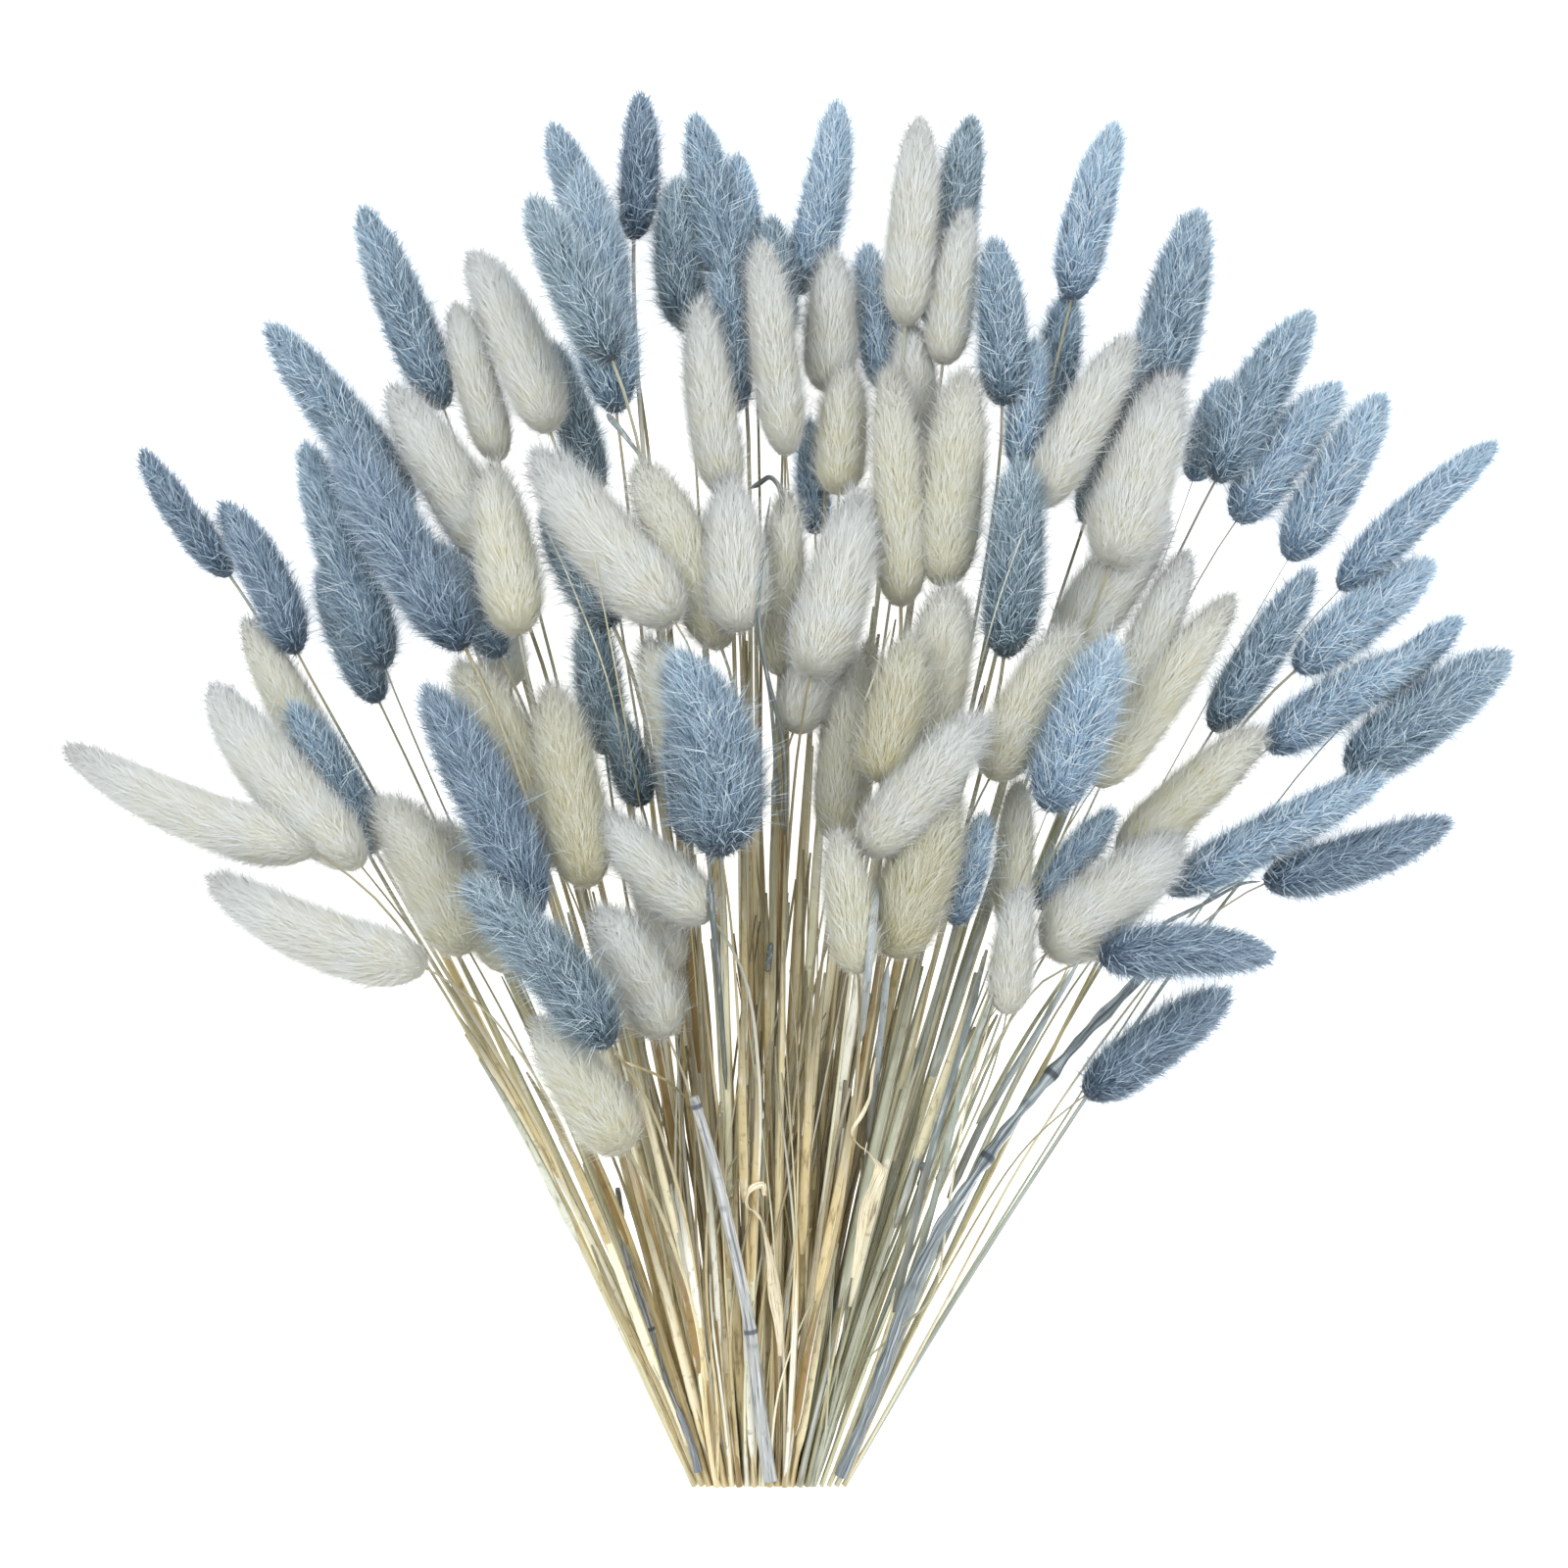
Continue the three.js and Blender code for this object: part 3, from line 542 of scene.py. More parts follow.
# A hair is one narrow face that tapers to its tip, and stands along Z with its flat side to Y
def hairBlade(name, paletteWidth):
    deselectAll()
    bpy.ops.mesh.primitive_plane_add(size=1)
    blade = bpy.context.object
    blade.name = blade.data.name = name
    bpy.ops.object.mode_set(mode="EDIT")
    bpy.ops.mesh.select_all(action="SELECT")
    bpy.ops.transform.translate(value=(0, 0.5, 0))
    bpy.ops.transform.rotate(value=-math.pi / 2, orient_axis="X", center_override=(0, 0, 0))
    bpy.ops.mesh.select_all(action="DESELECT")
    bpy.ops.object.mode_set(mode="OBJECT")
    for vertex in blade.data.vertices:
        vertex.select = abs(vertex.co.z) > 0.5
    bpy.ops.object.mode_set(mode="EDIT")
    bpy.ops.mesh.merge(type="CENTER")
    bpy.ops.object.mode_set(mode="OBJECT")
    co = readPlaces(blade.data)
    co[:, 2] = np.abs(co[:, 2])
    writePlaces(blade.data, co)
    at = cornerVertices(blade.data)
    paintPalette(blade.data, np.column_stack([co[at, 0] * paletteWidth, co[at, 2]]))
    return blade


def sortFaces(mesh):
    # A sphere's faces come in another order each run, and hairs are drawn face by face
    co = readPlaces(mesh)
    order = np.lexsort(co.round(5).T)
    rank = np.argsort(order)
    faces = []
    for face in mesh.polygons:
        ring = [int(rank[v]) for v in face.vertices]
        start = ring.index(min(ring))
        faces.append(ring[start:] + ring[:start])
    mesh.clear_geometry()
    mesh.from_pydata(co[order], [], sorted(faces))


# The core of a head, one long and one in radius, along Y: hairs are rooted in it
def headCore(name, fullness):
    deselectAll()
    bpy.ops.mesh.primitive_uv_sphere_add(segments=12, ring_count=12, radius=0.5, rotation=(math.pi / 2, 0, 0))
    core = bpy.context.object
    core.name = core.data.name = name
    bpy.ops.object.transform_apply(location=True, rotation=True, scale=True)
    bpy.ops.object.mode_set(mode="EDIT")
    bpy.ops.mesh.select_all(action="SELECT")
    bpy.ops.transform.translate(value=(0, 0.5, 0))
    bpy.ops.mesh.normals_make_consistent(inside=False)
    bpy.ops.object.mode_set(mode="OBJECT")
    co = readPlaces(core.data)
    wide = rules["widestAt"]
    low = np.sqrt(np.clip(1 - np.clip((wide - co[:, 1]) / wide, 0, 1) ** 2.6, 0, 1))
    high = np.clip(1 - np.clip((co[:, 1] - wide) / (1 - wide), 0, 1) ** fullness, 0, 1) ** 0.5
    out = np.hypot(co[:, 0], co[:, 2])
    reach = np.where(out > 1e-6, np.where(co[:, 1] < wide, low, high) / np.maximum(out, 1e-6), 0)
    co[:, 0] *= reach
    co[:, 2] *= reach
    writePlaces(core.data, co)
    sortFaces(core.data)
    return core


# How hairs stand, in both colours. Shares are of a head's length, and the seeds tell one head from another
coatWay = dict(leanRange=(0.5, 1.5), forward=0.35, flutter=0.25, sizeRange=(0.7, 1.3), baseLength=0.55,
               baseUntil=0.16, tipFrom=0.6, tipFull=0.95, patchScale=140.0, patchDepth=2.5, patchSeed=2.3,
               driftSeed=1.7, paletteSpread=0.04)


def coatGroup():
    tree = bpy.data.node_groups.new("hairCoat", "GeometryNodeTree")
    sheet = Sheet(tree)
    face = tree.interface
    face.new_socket("Geometry", in_out="OUTPUT", socket_type="NodeSocketGeometry")
    face.new_socket("Geometry", in_out="INPUT", socket_type="NodeSocketGeometry")
    face.new_socket("Hair", in_out="INPUT", socket_type="NodeSocketObject")
    face.new_socket("Seed", in_out="INPUT", socket_type="NodeSocketInt")
    for name in ("Density", "HeadLength", "Length", "Width", "Lean", "Stray", "Clump", "ClumpSize",
                 "TipStray", "Ragged", "TipShort", "Awn"):
        face.new_socket(name, in_out="INPUT", socket_type="NodeSocketFloat")
    given = sheet.node("NodeGroupInput")
    geometry = given.of("Geometry")
    seed = given.of("Seed")

    def anyNumber(low, high, salt):
        return sheet.node("FunctionNodeRandomValue", {"data_type": "FLOAT"},
                          {2: low, 3: high, "Seed": seed + salt}, out=1)

    def anyVector(reach, salt):
        return sheet.node("FunctionNodeRandomValue", {"data_type": "FLOAT_VECTOR"},
                          {0: (-reach,) * 3, 1: (reach,) * 3, "Seed": seed + salt}, out=0)

    points = sheet.node("GeometryNodeDistributePointsOnFaces", {}, {
        "Mesh": geometry, "Density": given.of("Density"), "Seed": seed})
    spot = sheet.node("GeometryNodeInputPosition")
    parts = sheet.node("ShaderNodeSeparateXYZ", {}, {0: spot})
    along = parts.of("Y") / given.of("HeadLength")
    # The face's rise along the head, with the way out taken from the root's own place round it
    rise = sheet.node("ShaderNodeSeparateXYZ", {}, {0: points.of("Normal")}).of("Y")
    around = sheet.vector("NORMALIZE", sheet.combine(parts, 0.0, parts.of("Z")))
    normal = sheet.vector("ADD", sheet.vector("SCALE", around, Scale=sheet.maths("SQRT", 1.0 - rise * rise)),
                          sheet.combine(0.0, rise, 0.0))
    # Hairs run along the skin to the tip and stand off it a little
    lean = given.of("Lean") * anyNumber(*coatWay["leanRange"], 1)
    tipward = sheet.step(along, coatWay["tipFrom"], coatWay["tipFull"])
    loose = given.of("Stray") + given.of("TipStray") * tipward
    stray = sheet.vector("SCALE", anyVector(1, 2), Scale=loose)
    skin = sheet.vector("NORMALIZE", sheet.vector(
        "SUBTRACT", (0.0, 1.0, 0.0), sheet.vector("SCALE", normal, Scale=rise)))
    away = sheet.vector("ADD", sheet.vector("SCALE", normal, Scale=lean), stray)
    way = sheet.vector("ADD", skin, (0.0, coatWay["forward"], 0.0))
    way = sheet.vector("NORMALIZE", sheet.vector("ADD", away, way))
    facing = sheet.vector("ADD", normal, anyVector(coatWay["flutter"], 3))
    turn = sheet.node("FunctionNodeAxesToRotation", {"primary_axis": "Z", "secondary_axis": "Y"},
                      {0: way, 1: facing})
    short = coatWay["baseLength"]
    tall = given.of("Length") * anyNumber(*coatWay["sizeRange"], 4)
    tall = tall * (short + (1 - short) * sheet.step(along, 0.0, coatWay["baseUntil"]))
    tall = tall * (1.0 - given.of("TipShort") * sheet.step(along, coatWay["tipFrom"], 1.0))
    # Longer and shorter patches of hair, each several mm wide
    patch = sheet.node("ShaderNodeTexNoise", {"noise_dimensions": "4D"}, {
        "Vector": spot, "W": seed * coatWay["patchSeed"], "Scale": coatWay["patchScale"], "Detail": 1.0})
    tall = tall * (1.0 + given.of("Ragged") * coatWay["patchDepth"] * (patch - 0.5))
    size = sheet.combine(given.of("Width") * anyNumber(*coatWay["sizeRange"], 5), tall, tall)
    spread = coatWay["paletteSpread"]
    hairU = along + anyNumber(-spread, spread, 6) + given.of("Awn")
    marked = sheet.node("GeometryNodeStoreNamedAttribute", {"data_type": "FLOAT", "domain": "POINT"},
                        {"Geometry": points, "Name": "hairU", "Value": hairU})
    marked = sheet.node("GeometryNodeStoreNamedAttribute", {"data_type": "FLOAT_VECTOR", "domain": "POINT"},
                        {"Geometry": marked, "Name": "root", "Value": spot})
    blade = sheet.node("GeometryNodeObjectInfo", {}, {"Object": given.of("Hair")}, out="Geometry")
    grown = sheet.node("GeometryNodeInstanceOnPoints", {}, {
        "Points": marked, "Instance": blade, "Rotation": turn, "Scale": size})
    grown = sheet.node("GeometryNodeRealizeInstances", {}, {"Geometry": grown})

    def stored(name, kind):
        return sheet.node("GeometryNodeInputNamedAttribute", {"data_type": kind}, {"Name": name})

    # Tips lean together in tufts: a slow pattern over the roots moves them, the tips the most
    root = stored("root", "FLOAT_VECTOR")
    reach = sheet.node("ShaderNodeVectorMath", {"operation": "LENGTH"}, {
        0: sheet.vector("SUBTRACT", spot, root)}, out=1) / given.of("Length")
    drift = sheet.node("ShaderNodeTexNoise", {"noise_dimensions": "4D"}, {
        "Vector": sheet.vector("SCALE", root, Scale=1 / given.of("ClumpSize")),
        "W": seed * coatWay["driftSeed"], "Scale": 1.0, "Detail": 1.0}, out="Color")
    drift = sheet.vector("SCALE", sheet.vector("SUBTRACT", drift, (0.5, 0.5, 0.5)),
                         Scale=given.of("Clump") * reach * reach)
    grown = sheet.node("GeometryNodeSetPosition", {}, {"Geometry": grown, "Offset": drift})
    own = sheet.node("ShaderNodeSeparateXYZ", {}, {0: stored(palette, "FLOAT_VECTOR")})
    uv = sheet.combine(stored("hairU", "FLOAT") + own, own.of("Y"))
    grown = sheet.node("GeometryNodeStoreNamedAttribute", {"data_type": "FLOAT2", "domain": "CORNER"},
                       {"Geometry": grown, "Name": palette, "Value": uv})
    joined = sheet.node("GeometryNodeJoinGeometry", {}, {0: grown})
    tree.links.new(geometry.socket, joined.socket.node.inputs[0])
    sheet.node("NodeGroupOutput", {}, {0: joined})
    return tree


def growCoat(piece, group, **values):
    coat = piece.modifiers.new("coat", "NODES")
    coat.node_group = group
    for item in group.interface.items_tree:
        if item.in_out == "INPUT" and item.name in values:
            coat[item.identifier] = values[item.name]
    deselectAll()
    piece.select_set(True)
    bpy.context.view_layer.objects.active = piece
    bpy.ops.object.modifier_apply(modifier=coat.name)


coats = {
    "blue": dict(core=0.77, coreEnds=(0.01, 0.975), fullness=2.7, taper=0.06, length=(2.6, 0.25), width=0.22,
                 lean=0.95, stray=0.5, tipStray=0.3, clump=1.7, clumpSize=2.6, ragged=0.45, tipShort=0.1,
                 hairs=3.0, awns=0.42, awnLength=1.8, awnWidth=0.24, awnStray=1.4, soft=0.5),
    "white": dict(core=0.82, coreEnds=(0.0, 0.985), fullness=3.2, taper=0.14, length=(2.3, 0.28), width=0.17,
                  lean=0.8, stray=0.32, tipStray=0.8, clump=0.6, clumpSize=5, ragged=0.5, tipShort=0.1,
                  hairs=3.2, awns=0.45, awnLength=1.7, awnWidth=0.17, awnStray=0.85, soft=0.9),
}


# Hairs shade partly like the round head, not each by its own flat side
def softenShading(mesh, rounded, soft):
    count = np.zeros(len(mesh.polygons), int)
    mesh.polygons.foreach_get("loop_total", count)
    flat = np.zeros(len(mesh.polygons) * 3)
    mesh.polygons.foreach_get("normal", flat)
    flat = np.repeat(flat.reshape(-1, 3), count, axis=0)
    rounded = rounded[cornerVertices(mesh)]
    facing = np.where((flat * rounded).sum(1) < 0, -1, 1)[:, None]
    mixed = rounded * facing * soft + flat * (1 - soft)
    mesh.normals_split_custom_set(mixed / np.linalg.norm(mixed, axis=1)[:, None])


extraBow = {"blueHead51": -3}                  # mm, where the photo bows more than the model
hairTop = cadBox[1][2] + 9 * mm                # no awn stands higher than this
hairBottom = 0.0002                            # and none hangs lower, in metres
coreShade = 0.12                               # v of the palette between the hairs, near the darker root tone: partly painted shade
awnPalette = 1.1                               # added to u on awns
headsSlim = dict(cycle=2.4, turnAt=0.3)        # which heads taper more, and round what share of them
bladeWidth = 0.008                             # of the palette, on one hair


def growHead(head, core, group, blades):
    look = coats[head.colour]
    name = f"{head.colour}Head{head.number:02d}"
    piece = copyPiece(core, name)
    length, radius = head.length * mm, head.fullRadius * mm
    low, high = look["coreEnds"]
    co = readPlaces(piece.data) * (radius * look["core"], 1, radius * look["core"])
    taper = look["taper"] * (1 + math.sin(head.number * headsSlim["cycle"]))
    co[:, (0, 2)] *= (1 + taper * (headsSlim["turnAt"] - co[:, 1]))[:, None]
    co[:, 1] = (low + (high - low) * co[:, 1]) * length
    writePlaces(piece.data, co)
    at = cornerVertices(piece.data)
    # The core between the hairs takes the root end of the palette, partly painted shade
    paintPalette(piece.data, np.column_stack([co[at, 1] / length, np.full(len(at), coreShade)]))
    hairLength = look["length"][0] * mm + look["length"][1] * radius
    values = dict(HeadLength=length, Length=hairLength, Width=look["width"] * mm, Lean=look["lean"],
                  Stray=look["stray"], TipStray=look["tipStray"], Clump=look["clump"] * mm,
                  ClumpSize=look["clumpSize"] * mm, Ragged=look["ragged"], TipShort=look["tipShort"],
                  Density=look["hairs"] / mm ** 2, Seed=head.number * 7 + (head.colour == "blue"),
                  Awn=0.0, Hair=blades[0])
    bare = copyPiece(piece, name + "Awns")
    growCoat(piece, group, **values)
    values.update(Hair=blades[1], Awn=awnPalette, Density=look["awns"] / mm ** 2,
                  Length=hairLength * look["awnLength"], Width=look["awnWidth"] * mm,
                  Stray=look["awnStray"], Seed=values["Seed"] + 500)
    growCoat(bare, group, **values)
    deselectAll()
    bare.select_set(True)
    piece.select_set(True)
    bpy.context.view_layer.objects.active = piece
    bpy.ops.object.join()
    for extra in ("hairU", "root"):
        piece.data.attributes.remove(piece.data.attributes[extra])
    piece.data.materials.clear()
    piece.data.materials.append(hairFinishes[head.colour][head.tone])
    piece.data.polygons.foreach_set("material_index", [0] * len(piece.data.polygons))
    piece.data.polygons.foreach_set("use_smooth", [True] * len(piece.data.polygons))
    # From straight along Y to the bowed and tilted place in the bunch
    co = readPlaces(piece.data)
    t = co[:, 1] / length
    side = np.array([-head.along[1], head.along[0], 0])
    tangent = np.array([head.along[0], head.along[1], head.slope])
    up = np.cross(tangent / np.linalg.norm(tangent), side)
    bow = (head.bow + extraBow.get(name, 0)) * mm * 4 * t * (1 - t)
    wide = rules["widestAt"]
    ends = np.where(t > wide, ((t - wide) / (1 - wide)) ** 3, -(np.abs(wide - t) / wide) ** 3) * radius
    rounded = np.outer(-co[:, 0], side) + np.outer(ends, tangent) + np.outer(co[:, 2], up)
    rounded /= np.maximum(np.linalg.norm(rounded, axis=1), 1e-9)[:, None]
    placed = np.array([*head.base, head.baseZ]) * mm + np.outer(co[:, 1], tangent)
    placed += np.outer(bow - co[:, 0], side) + np.outer(co[:, 2], up)
    placed[:, 2] = np.clip(placed[:, 2], hairBottom, hairTop)
    writePlaces(piece.data, placed)
    softenShading(piece.data, rounded, look["soft"])
    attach(piece, "root")
    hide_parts(head.node)
    return piece


group = coatGroup()
cores = {colour: headCore(colour + "Core", coats[colour]["fullness"]) for colour in coats}
blades = (hairBlade("hair", bladeWidth), hairBlade("awn", bladeWidth))
faces = 0
for head in heads:
    made = growHead(head, cores[head.colour], group, blades)
    faces += sum(len(p.vertices) - 2 for p in made.data.polygons)
print("heads grown, triangles", faces)


# A round master along Y from 0 to 1, its palette once round in u and once along in v
def tubeMaster(name, sides, steps):
    deselectAll()
    bpy.ops.mesh.primitive_cylinder_add(vertices=sides, radius=1, depth=1, rotation=(-math.pi / 2, 0, 0))
    tube = bpy.context.object
    tube.name = tube.data.name = name
    bpy.ops.object.transform_apply(location=True, rotation=True, scale=True)
    bpy.ops.object.mode_set(mode="EDIT")
    bpy.ops.mesh.select_all(action="SELECT")
    bpy.ops.transform.translate(value=(0, 0.5, 0))
    for i in range(1, steps):
        bpy.ops.mesh.select_all(action="SELECT")
        bpy.ops.mesh.bisect(plane_co=(0, i / steps, 0), plane_no=(0, 1, 0))
    bpy.ops.object.mode_set(mode="OBJECT")
    co = readPlaces(tube.data)
    at = cornerVertices(tube.data)
    uv = np.zeros((len(at), 2))
    for face in tube.data.polygons:
        loops = list(face.loop_indices)
        turns = np.arctan2(co[at[loops], 2], co[at[loops], 0]) / (2 * math.pi) % 1
        if turns.max() - turns.min() > 0.5 and len(loops) == 4:
            turns[turns < 0.5] += 1
        uv[loops] = np.column_stack([turns, co[at[loops], 1]])
    paintPalette(tube.data, uv)
    return tube


def smoothRoute(points, count):
    # Even steps along a soft curve through the points
    points = np.asarray(points, float)
    ends = np.vstack([2 * points[0] - points[1], points, 2 * points[-1] - points[-2]])
    dense = []
    for i in range(1, len(ends) - 2):
        a, b, c, d = ends[i - 1:i + 3]
        for t in np.linspace(0, 1, 12, endpoint=False):
            dense.append(0.5 * (2 * b + (c - a) * t + (2 * a - 5 * b + 4 * c - d) * t ** 2
                                + (3 * b - a - 3 * c + d) * t ** 3))
    dense.append(points[-1])
    dense = np.array(dense)
    run = np.concatenate([[0], np.cumsum(np.linalg.norm(np.diff(dense[:, :3], axis=0), axis=1))])
    even = np.linspace(0, run[-1], count + 1)
    return np.column_stack([np.interp(even, run, column) for column in dense.T])


def layAlong(master, name, route, radiusAt, strip=0, strips=1, flat=1.0, turnAt=None):
    piece = copyPiece(master, name)
    co = readPlaces(piece.data)
    steps = len(route) - 1
    station = np.clip(np.round(co[:, 1] * steps).astype(int), 0, steps)
    tangents = np.gradient(route, axis=0)
    tangents /= np.linalg.norm(tangents, axis=1)[:, None]
    sides = np.column_stack([tangents[:, 1], -tangents[:, 0], np.zeros(steps + 1)])
    sides /= np.linalg.norm(sides, axis=1)[:, None]
    ups = np.cross(sides, tangents)
    if turnAt:
        turns = np.array([turnAt(i / steps) for i in range(steps + 1)])[:, None]
        sides, ups = sides * np.cos(turns) + ups * np.sin(turns), ups * np.cos(turns) - sides * np.sin(turns)
    radii = np.array([radiusAt(i / steps) for i in range(steps + 1)])
    placed = route[station] + sides[station] * (co[:, 0] * radii[station])[:, None]
    placed += ups[station] * (co[:, 2] * radii[station] * flat)[:, None]
    writePlaces(piece.data, placed * mm)
    layer = piece.data.uv_layers[palette]
    uv = np.zeros(len(piece.data.loops) * 2)
    layer.data.foreach_get("uv", uv)
    uv = uv.reshape(-1, 2)
    uv[:, 0] = (strip + uv[:, 0]) / strips
    paintPalette(piece.data, uv)
    return piece


def joinPieces(pieces, name, finish):
    deselectAll()
    for piece in pieces:
        piece.select_set(True)
    bpy.context.view_layer.objects.active = pieces[0]
    if len(pieces) > 1:
        bpy.ops.object.join()
    joined = pieces[0]
    joined.name = joined.data.name = name
    joined.data.materials.clear()
    joined.data.materials.append(finish)
    joined.data.polygons.foreach_set("use_smooth", [True] * len(joined.data.polygons))
    return joined


# Straw: 20 strips of u, each a stem's own colour, with fine streaks along it
stemLook = dict(
    strips=20, grain=5, tones=[
        (232, 218, 172), (243, 242, 210), (213, 194, 144), (243, 233, 200), (223, 209, 163), (150, 125, 76),
        (243, 243, 228), (195, 179, 133), (206, 203, 169), (163, 164, 135), (223, 217, 182), (213, 217, 200),
        (180, 185, 163), (234, 228, 197), (169, 178, 172), (202, 191, 148), (122, 134, 137), (100, 111, 115),
        (152, 163, 154), (159, 169, 173)],
    neck=(122, 121, 105), neckFrom=0.4, streakDark=(109, 91, 53), streakLight=(243, 243, 238), roughness=0.55,
)
# On straw and stalks alike: streaks, blotches, the duller neck under a head, and rings. "From" and "full"
# are where in the noise, or along the stem, a mark begins and is at its strongest
marks = dict(streakRun=6, lightFrom=0.52, light=0.6, darkFrom=0.54, dark=0.8, full=0.72, blotchGrain=1.3,
             blotchRun=22, blotchFrom=0.58, blotchFull=0.75, blotch=0.45, neckFull=0.95, neck=0.7,
             ringCore=0.003, ringEdge=0.009, ring=0.85, bump=0.6, bumpHeight=0.0003)


def strawFinish(name, look):
    finish, sheet, across, along = newFinish(name)
    count = look["strips"]
    stops = [(i / count, tint(*tone)[:3]) for i, tone in enumerate(look["tones"])]
    coloured = sheet.node("ShaderNodeValToRGB", {"stops": stops}, {0: across})
    coloured.socket.node.color_ramp.interpolation = "CONSTANT"
    streak = sheet.combine(across * count * look["grain"], along * marks["streakRun"])
    streak = sheet.noise(streak, 1.0, 3.0, 0.6)
    blotch = sheet.combine(across * count * marks["blotchGrain"], along * marks["blotchRun"])
    blotch = sheet.noise(blotch, 1.0, 2.0)
    full = look.get("streakFull", marks["full"])
    light = sheet.step(streak, marks["lightFrom"], full) * marks["light"]
    coloured = sheet.blend(light, coloured, tint(*look["streakLight"]))
    dark = sheet.step(1 - streak, marks["darkFrom"], full) * marks["dark"]
    coloured = sheet.blend(dark, coloured, tint(*look["streakDark"]))
    dark = sheet.step(blotch, marks["blotchFrom"], marks["blotchFull"]) * marks["blotch"]
    coloured = sheet.blend(dark, coloured, tint(*look["streakDark"]))
    if "neck" in look:
        dull = sheet.step(along, look["neckFrom"], marks["neckFull"]) * marks["neck"]
        coloured = sheet.blend(dull, coloured, tint(*look["neck"]))
    for ring in look.get("rings", ()):
        away = sheet.maths("ABSOLUTE", along - ring)
        near = 1 - sheet.step(away, marks["ringCore"], marks["ringEdge"])
        coloured = sheet.blend(near * marks["ring"], coloured, tint(*look["ringTone"]))
    bump = sheet.node("ShaderNodeBump", {}, {
        "Strength": marks["bump"], "Distance": marks["bumpHeight"], "Height": streak})
    closeFinish(sheet, coloured, look["roughness"], Normal=bump)
    return finish


# Straw to the left and in the middle, olive and blue-grey to the right, and some of both furthest left
stripPick = dict(kind=8, rightFrom=0.68, leftUntil=0.1, left=(3, 8, 7, 13, 1, 15, 9, 12))


def stemStrip(head):
    pick = (head.number * 5 + (3 if head.colour == "blue" else 0)) % stripPick["kind"]
    if head.fanShare > stripPick["rightFrom"]:
        return stripPick["kind"] + pick
    if head.fanShare < stripPick["leftUntil"]:
        return stripPick["left"][pick]
    return pick


def nextStrip(strip, step):                    # another strip of the same kind
    kind = stripPick["kind"]
    return strip // kind * kind + (strip + step) % kind


def stemInHead(head):
    # The laid route, and on into the head so that no gap shows at its base
    inner = head.base + head.along * stemReach
    return np.vstack([head.route, [*inner, head.baseZ + head.slope * stemReach]])


def finishStraws(pieces, name, finish, slot, *nodes):
    joined = joinPieces(pieces, name, finish)
    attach(joined, "root")
    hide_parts(*nodes)
    print(name, "made, triangles", sum(len(p.vertices) - 2 for p in joined.data.polygons))


# Each stem wanders a little off its laid route, in mm, and the ones furthest right are thinner
thinLook = dict(sides=6, steps=24, seed=5, radius=(1.05, 0.5), spread=0.35, wander=1.5, rightFrom=0.78,
                rightThin=0.35)


def growThinStems():
    pieces = []
    spread = np.random.default_rng(thinLook["seed"])
    run = np.linspace(0, 1, thinLook["steps"] + 1)
    low, high = thinLook["radius"]
    for head in heads:
        draw = spread.random(5)
        route = smoothRoute(stemInHead(head), thinLook["steps"])
        sway = np.sin(math.pi * run) * np.sin(run * (5 + 7 * draw[0]) + 6 * draw[1])
        route[:, 0] += thinLook["wander"] * (0.4 + 0.6 * draw[2]) * sway
        size = 1 + thinLook["spread"] * (draw[3] * 2 - 1)
        size -= thinLook["rightThin"] * (head.fanShare > thinLook["rightFrom"])
        pieces.append(layAlong(stemMaster, "stem", route, lambda s: size * (low + (high - low) * s),
                               stemStrip(head), stemLook["strips"]))
    finishStraws(pieces, "thinStems", straw, "straw_stems", "stem_bundle")


stemReach = 4                                  # mm that a stem runs on into its head
straw = strawFinish("straw", stemLook)
stemMaster = tubeMaster("stemMaster", thinLook["sides"], thinLook["steps"])
heads.sort(key=lambda head: head.fanShare)
growThinStems()

# Leaf sheaths: wider dry strips that hug a stretch of a stem and peel off at their upper end
sheathLook = dict(sides=5, steps=14, seed=11, rounds=2, low=0.02, lowRange=0.5, length=0.28, lengthRange=0.3,
                  most=0.8, width=1.5, flat=0.5, rise=0.35, peel=2.2, until=0.84)


def growSheaths():
    pieces = []
    steps = sheathLook["steps"]
    spread = np.random.default_rng(sheathLook["seed"])
    master = tubeMaster("sheathMaster", sheathLook["sides"], steps)
    for head in heads * sheathLook["rounds"]:
        draw = spread.random(6)
        if head.fanShare > sheathLook["until"]:
            continue
        low = sheathLook["low"] + sheathLook["lowRange"] * draw[0]
        high = min(low + sheathLook["length"] + sheathLook["lengthRange"] * draw[1], sheathLook["most"])
        dense = smoothRoute(head.route, 100)
        route = smoothRoute(dense[int(low * 100):int(high * 100) + 1:4], steps)
        run = np.linspace(0, 1, steps + 1)
        across = np.array([head.along[1], -head.along[0]]) * (1 if draw[2] > 0.5 else -1)
        route[:, :2] += np.outer(sheathLook["peel"] * draw[3] * run ** 4 + draw[5] * 0.5, across)
        route[:, 2] += sheathLook["rise"]
        width = sheathLook["width"] * (0.7 + 0.6 * draw[4])
        strip = nextStrip(stemStrip(head), 1 + int(draw[4] * 6))
        pieces.append(layAlong(master, "sheath", route,
                               lambda s: width * (1 - 0.75 * s ** 3) * min(1, 0.4 + 6 * s),
                               strip, stemLook["strips"], sheathLook["flat"]))
    finishStraws(pieces, "leafSheaths", straw, "straw_stems", "stem_bundle")
    bpy.data.objects.remove(master)


# Loose straws between the stems, most of them in the middle, the lower ones darker: painted shade in the gaps
# between the stems
looseLook = dict(sides=5, steps=14, seed=23, count=190, fan=(0.1, 0.8), top=(0.35, 0.72), thick=(0.6, 1.4),
                 flat=0.6, wander=2.6, sink=1.6, cross=13, crossThin=0.6, rise=7, shadeStrips=(5, 9))


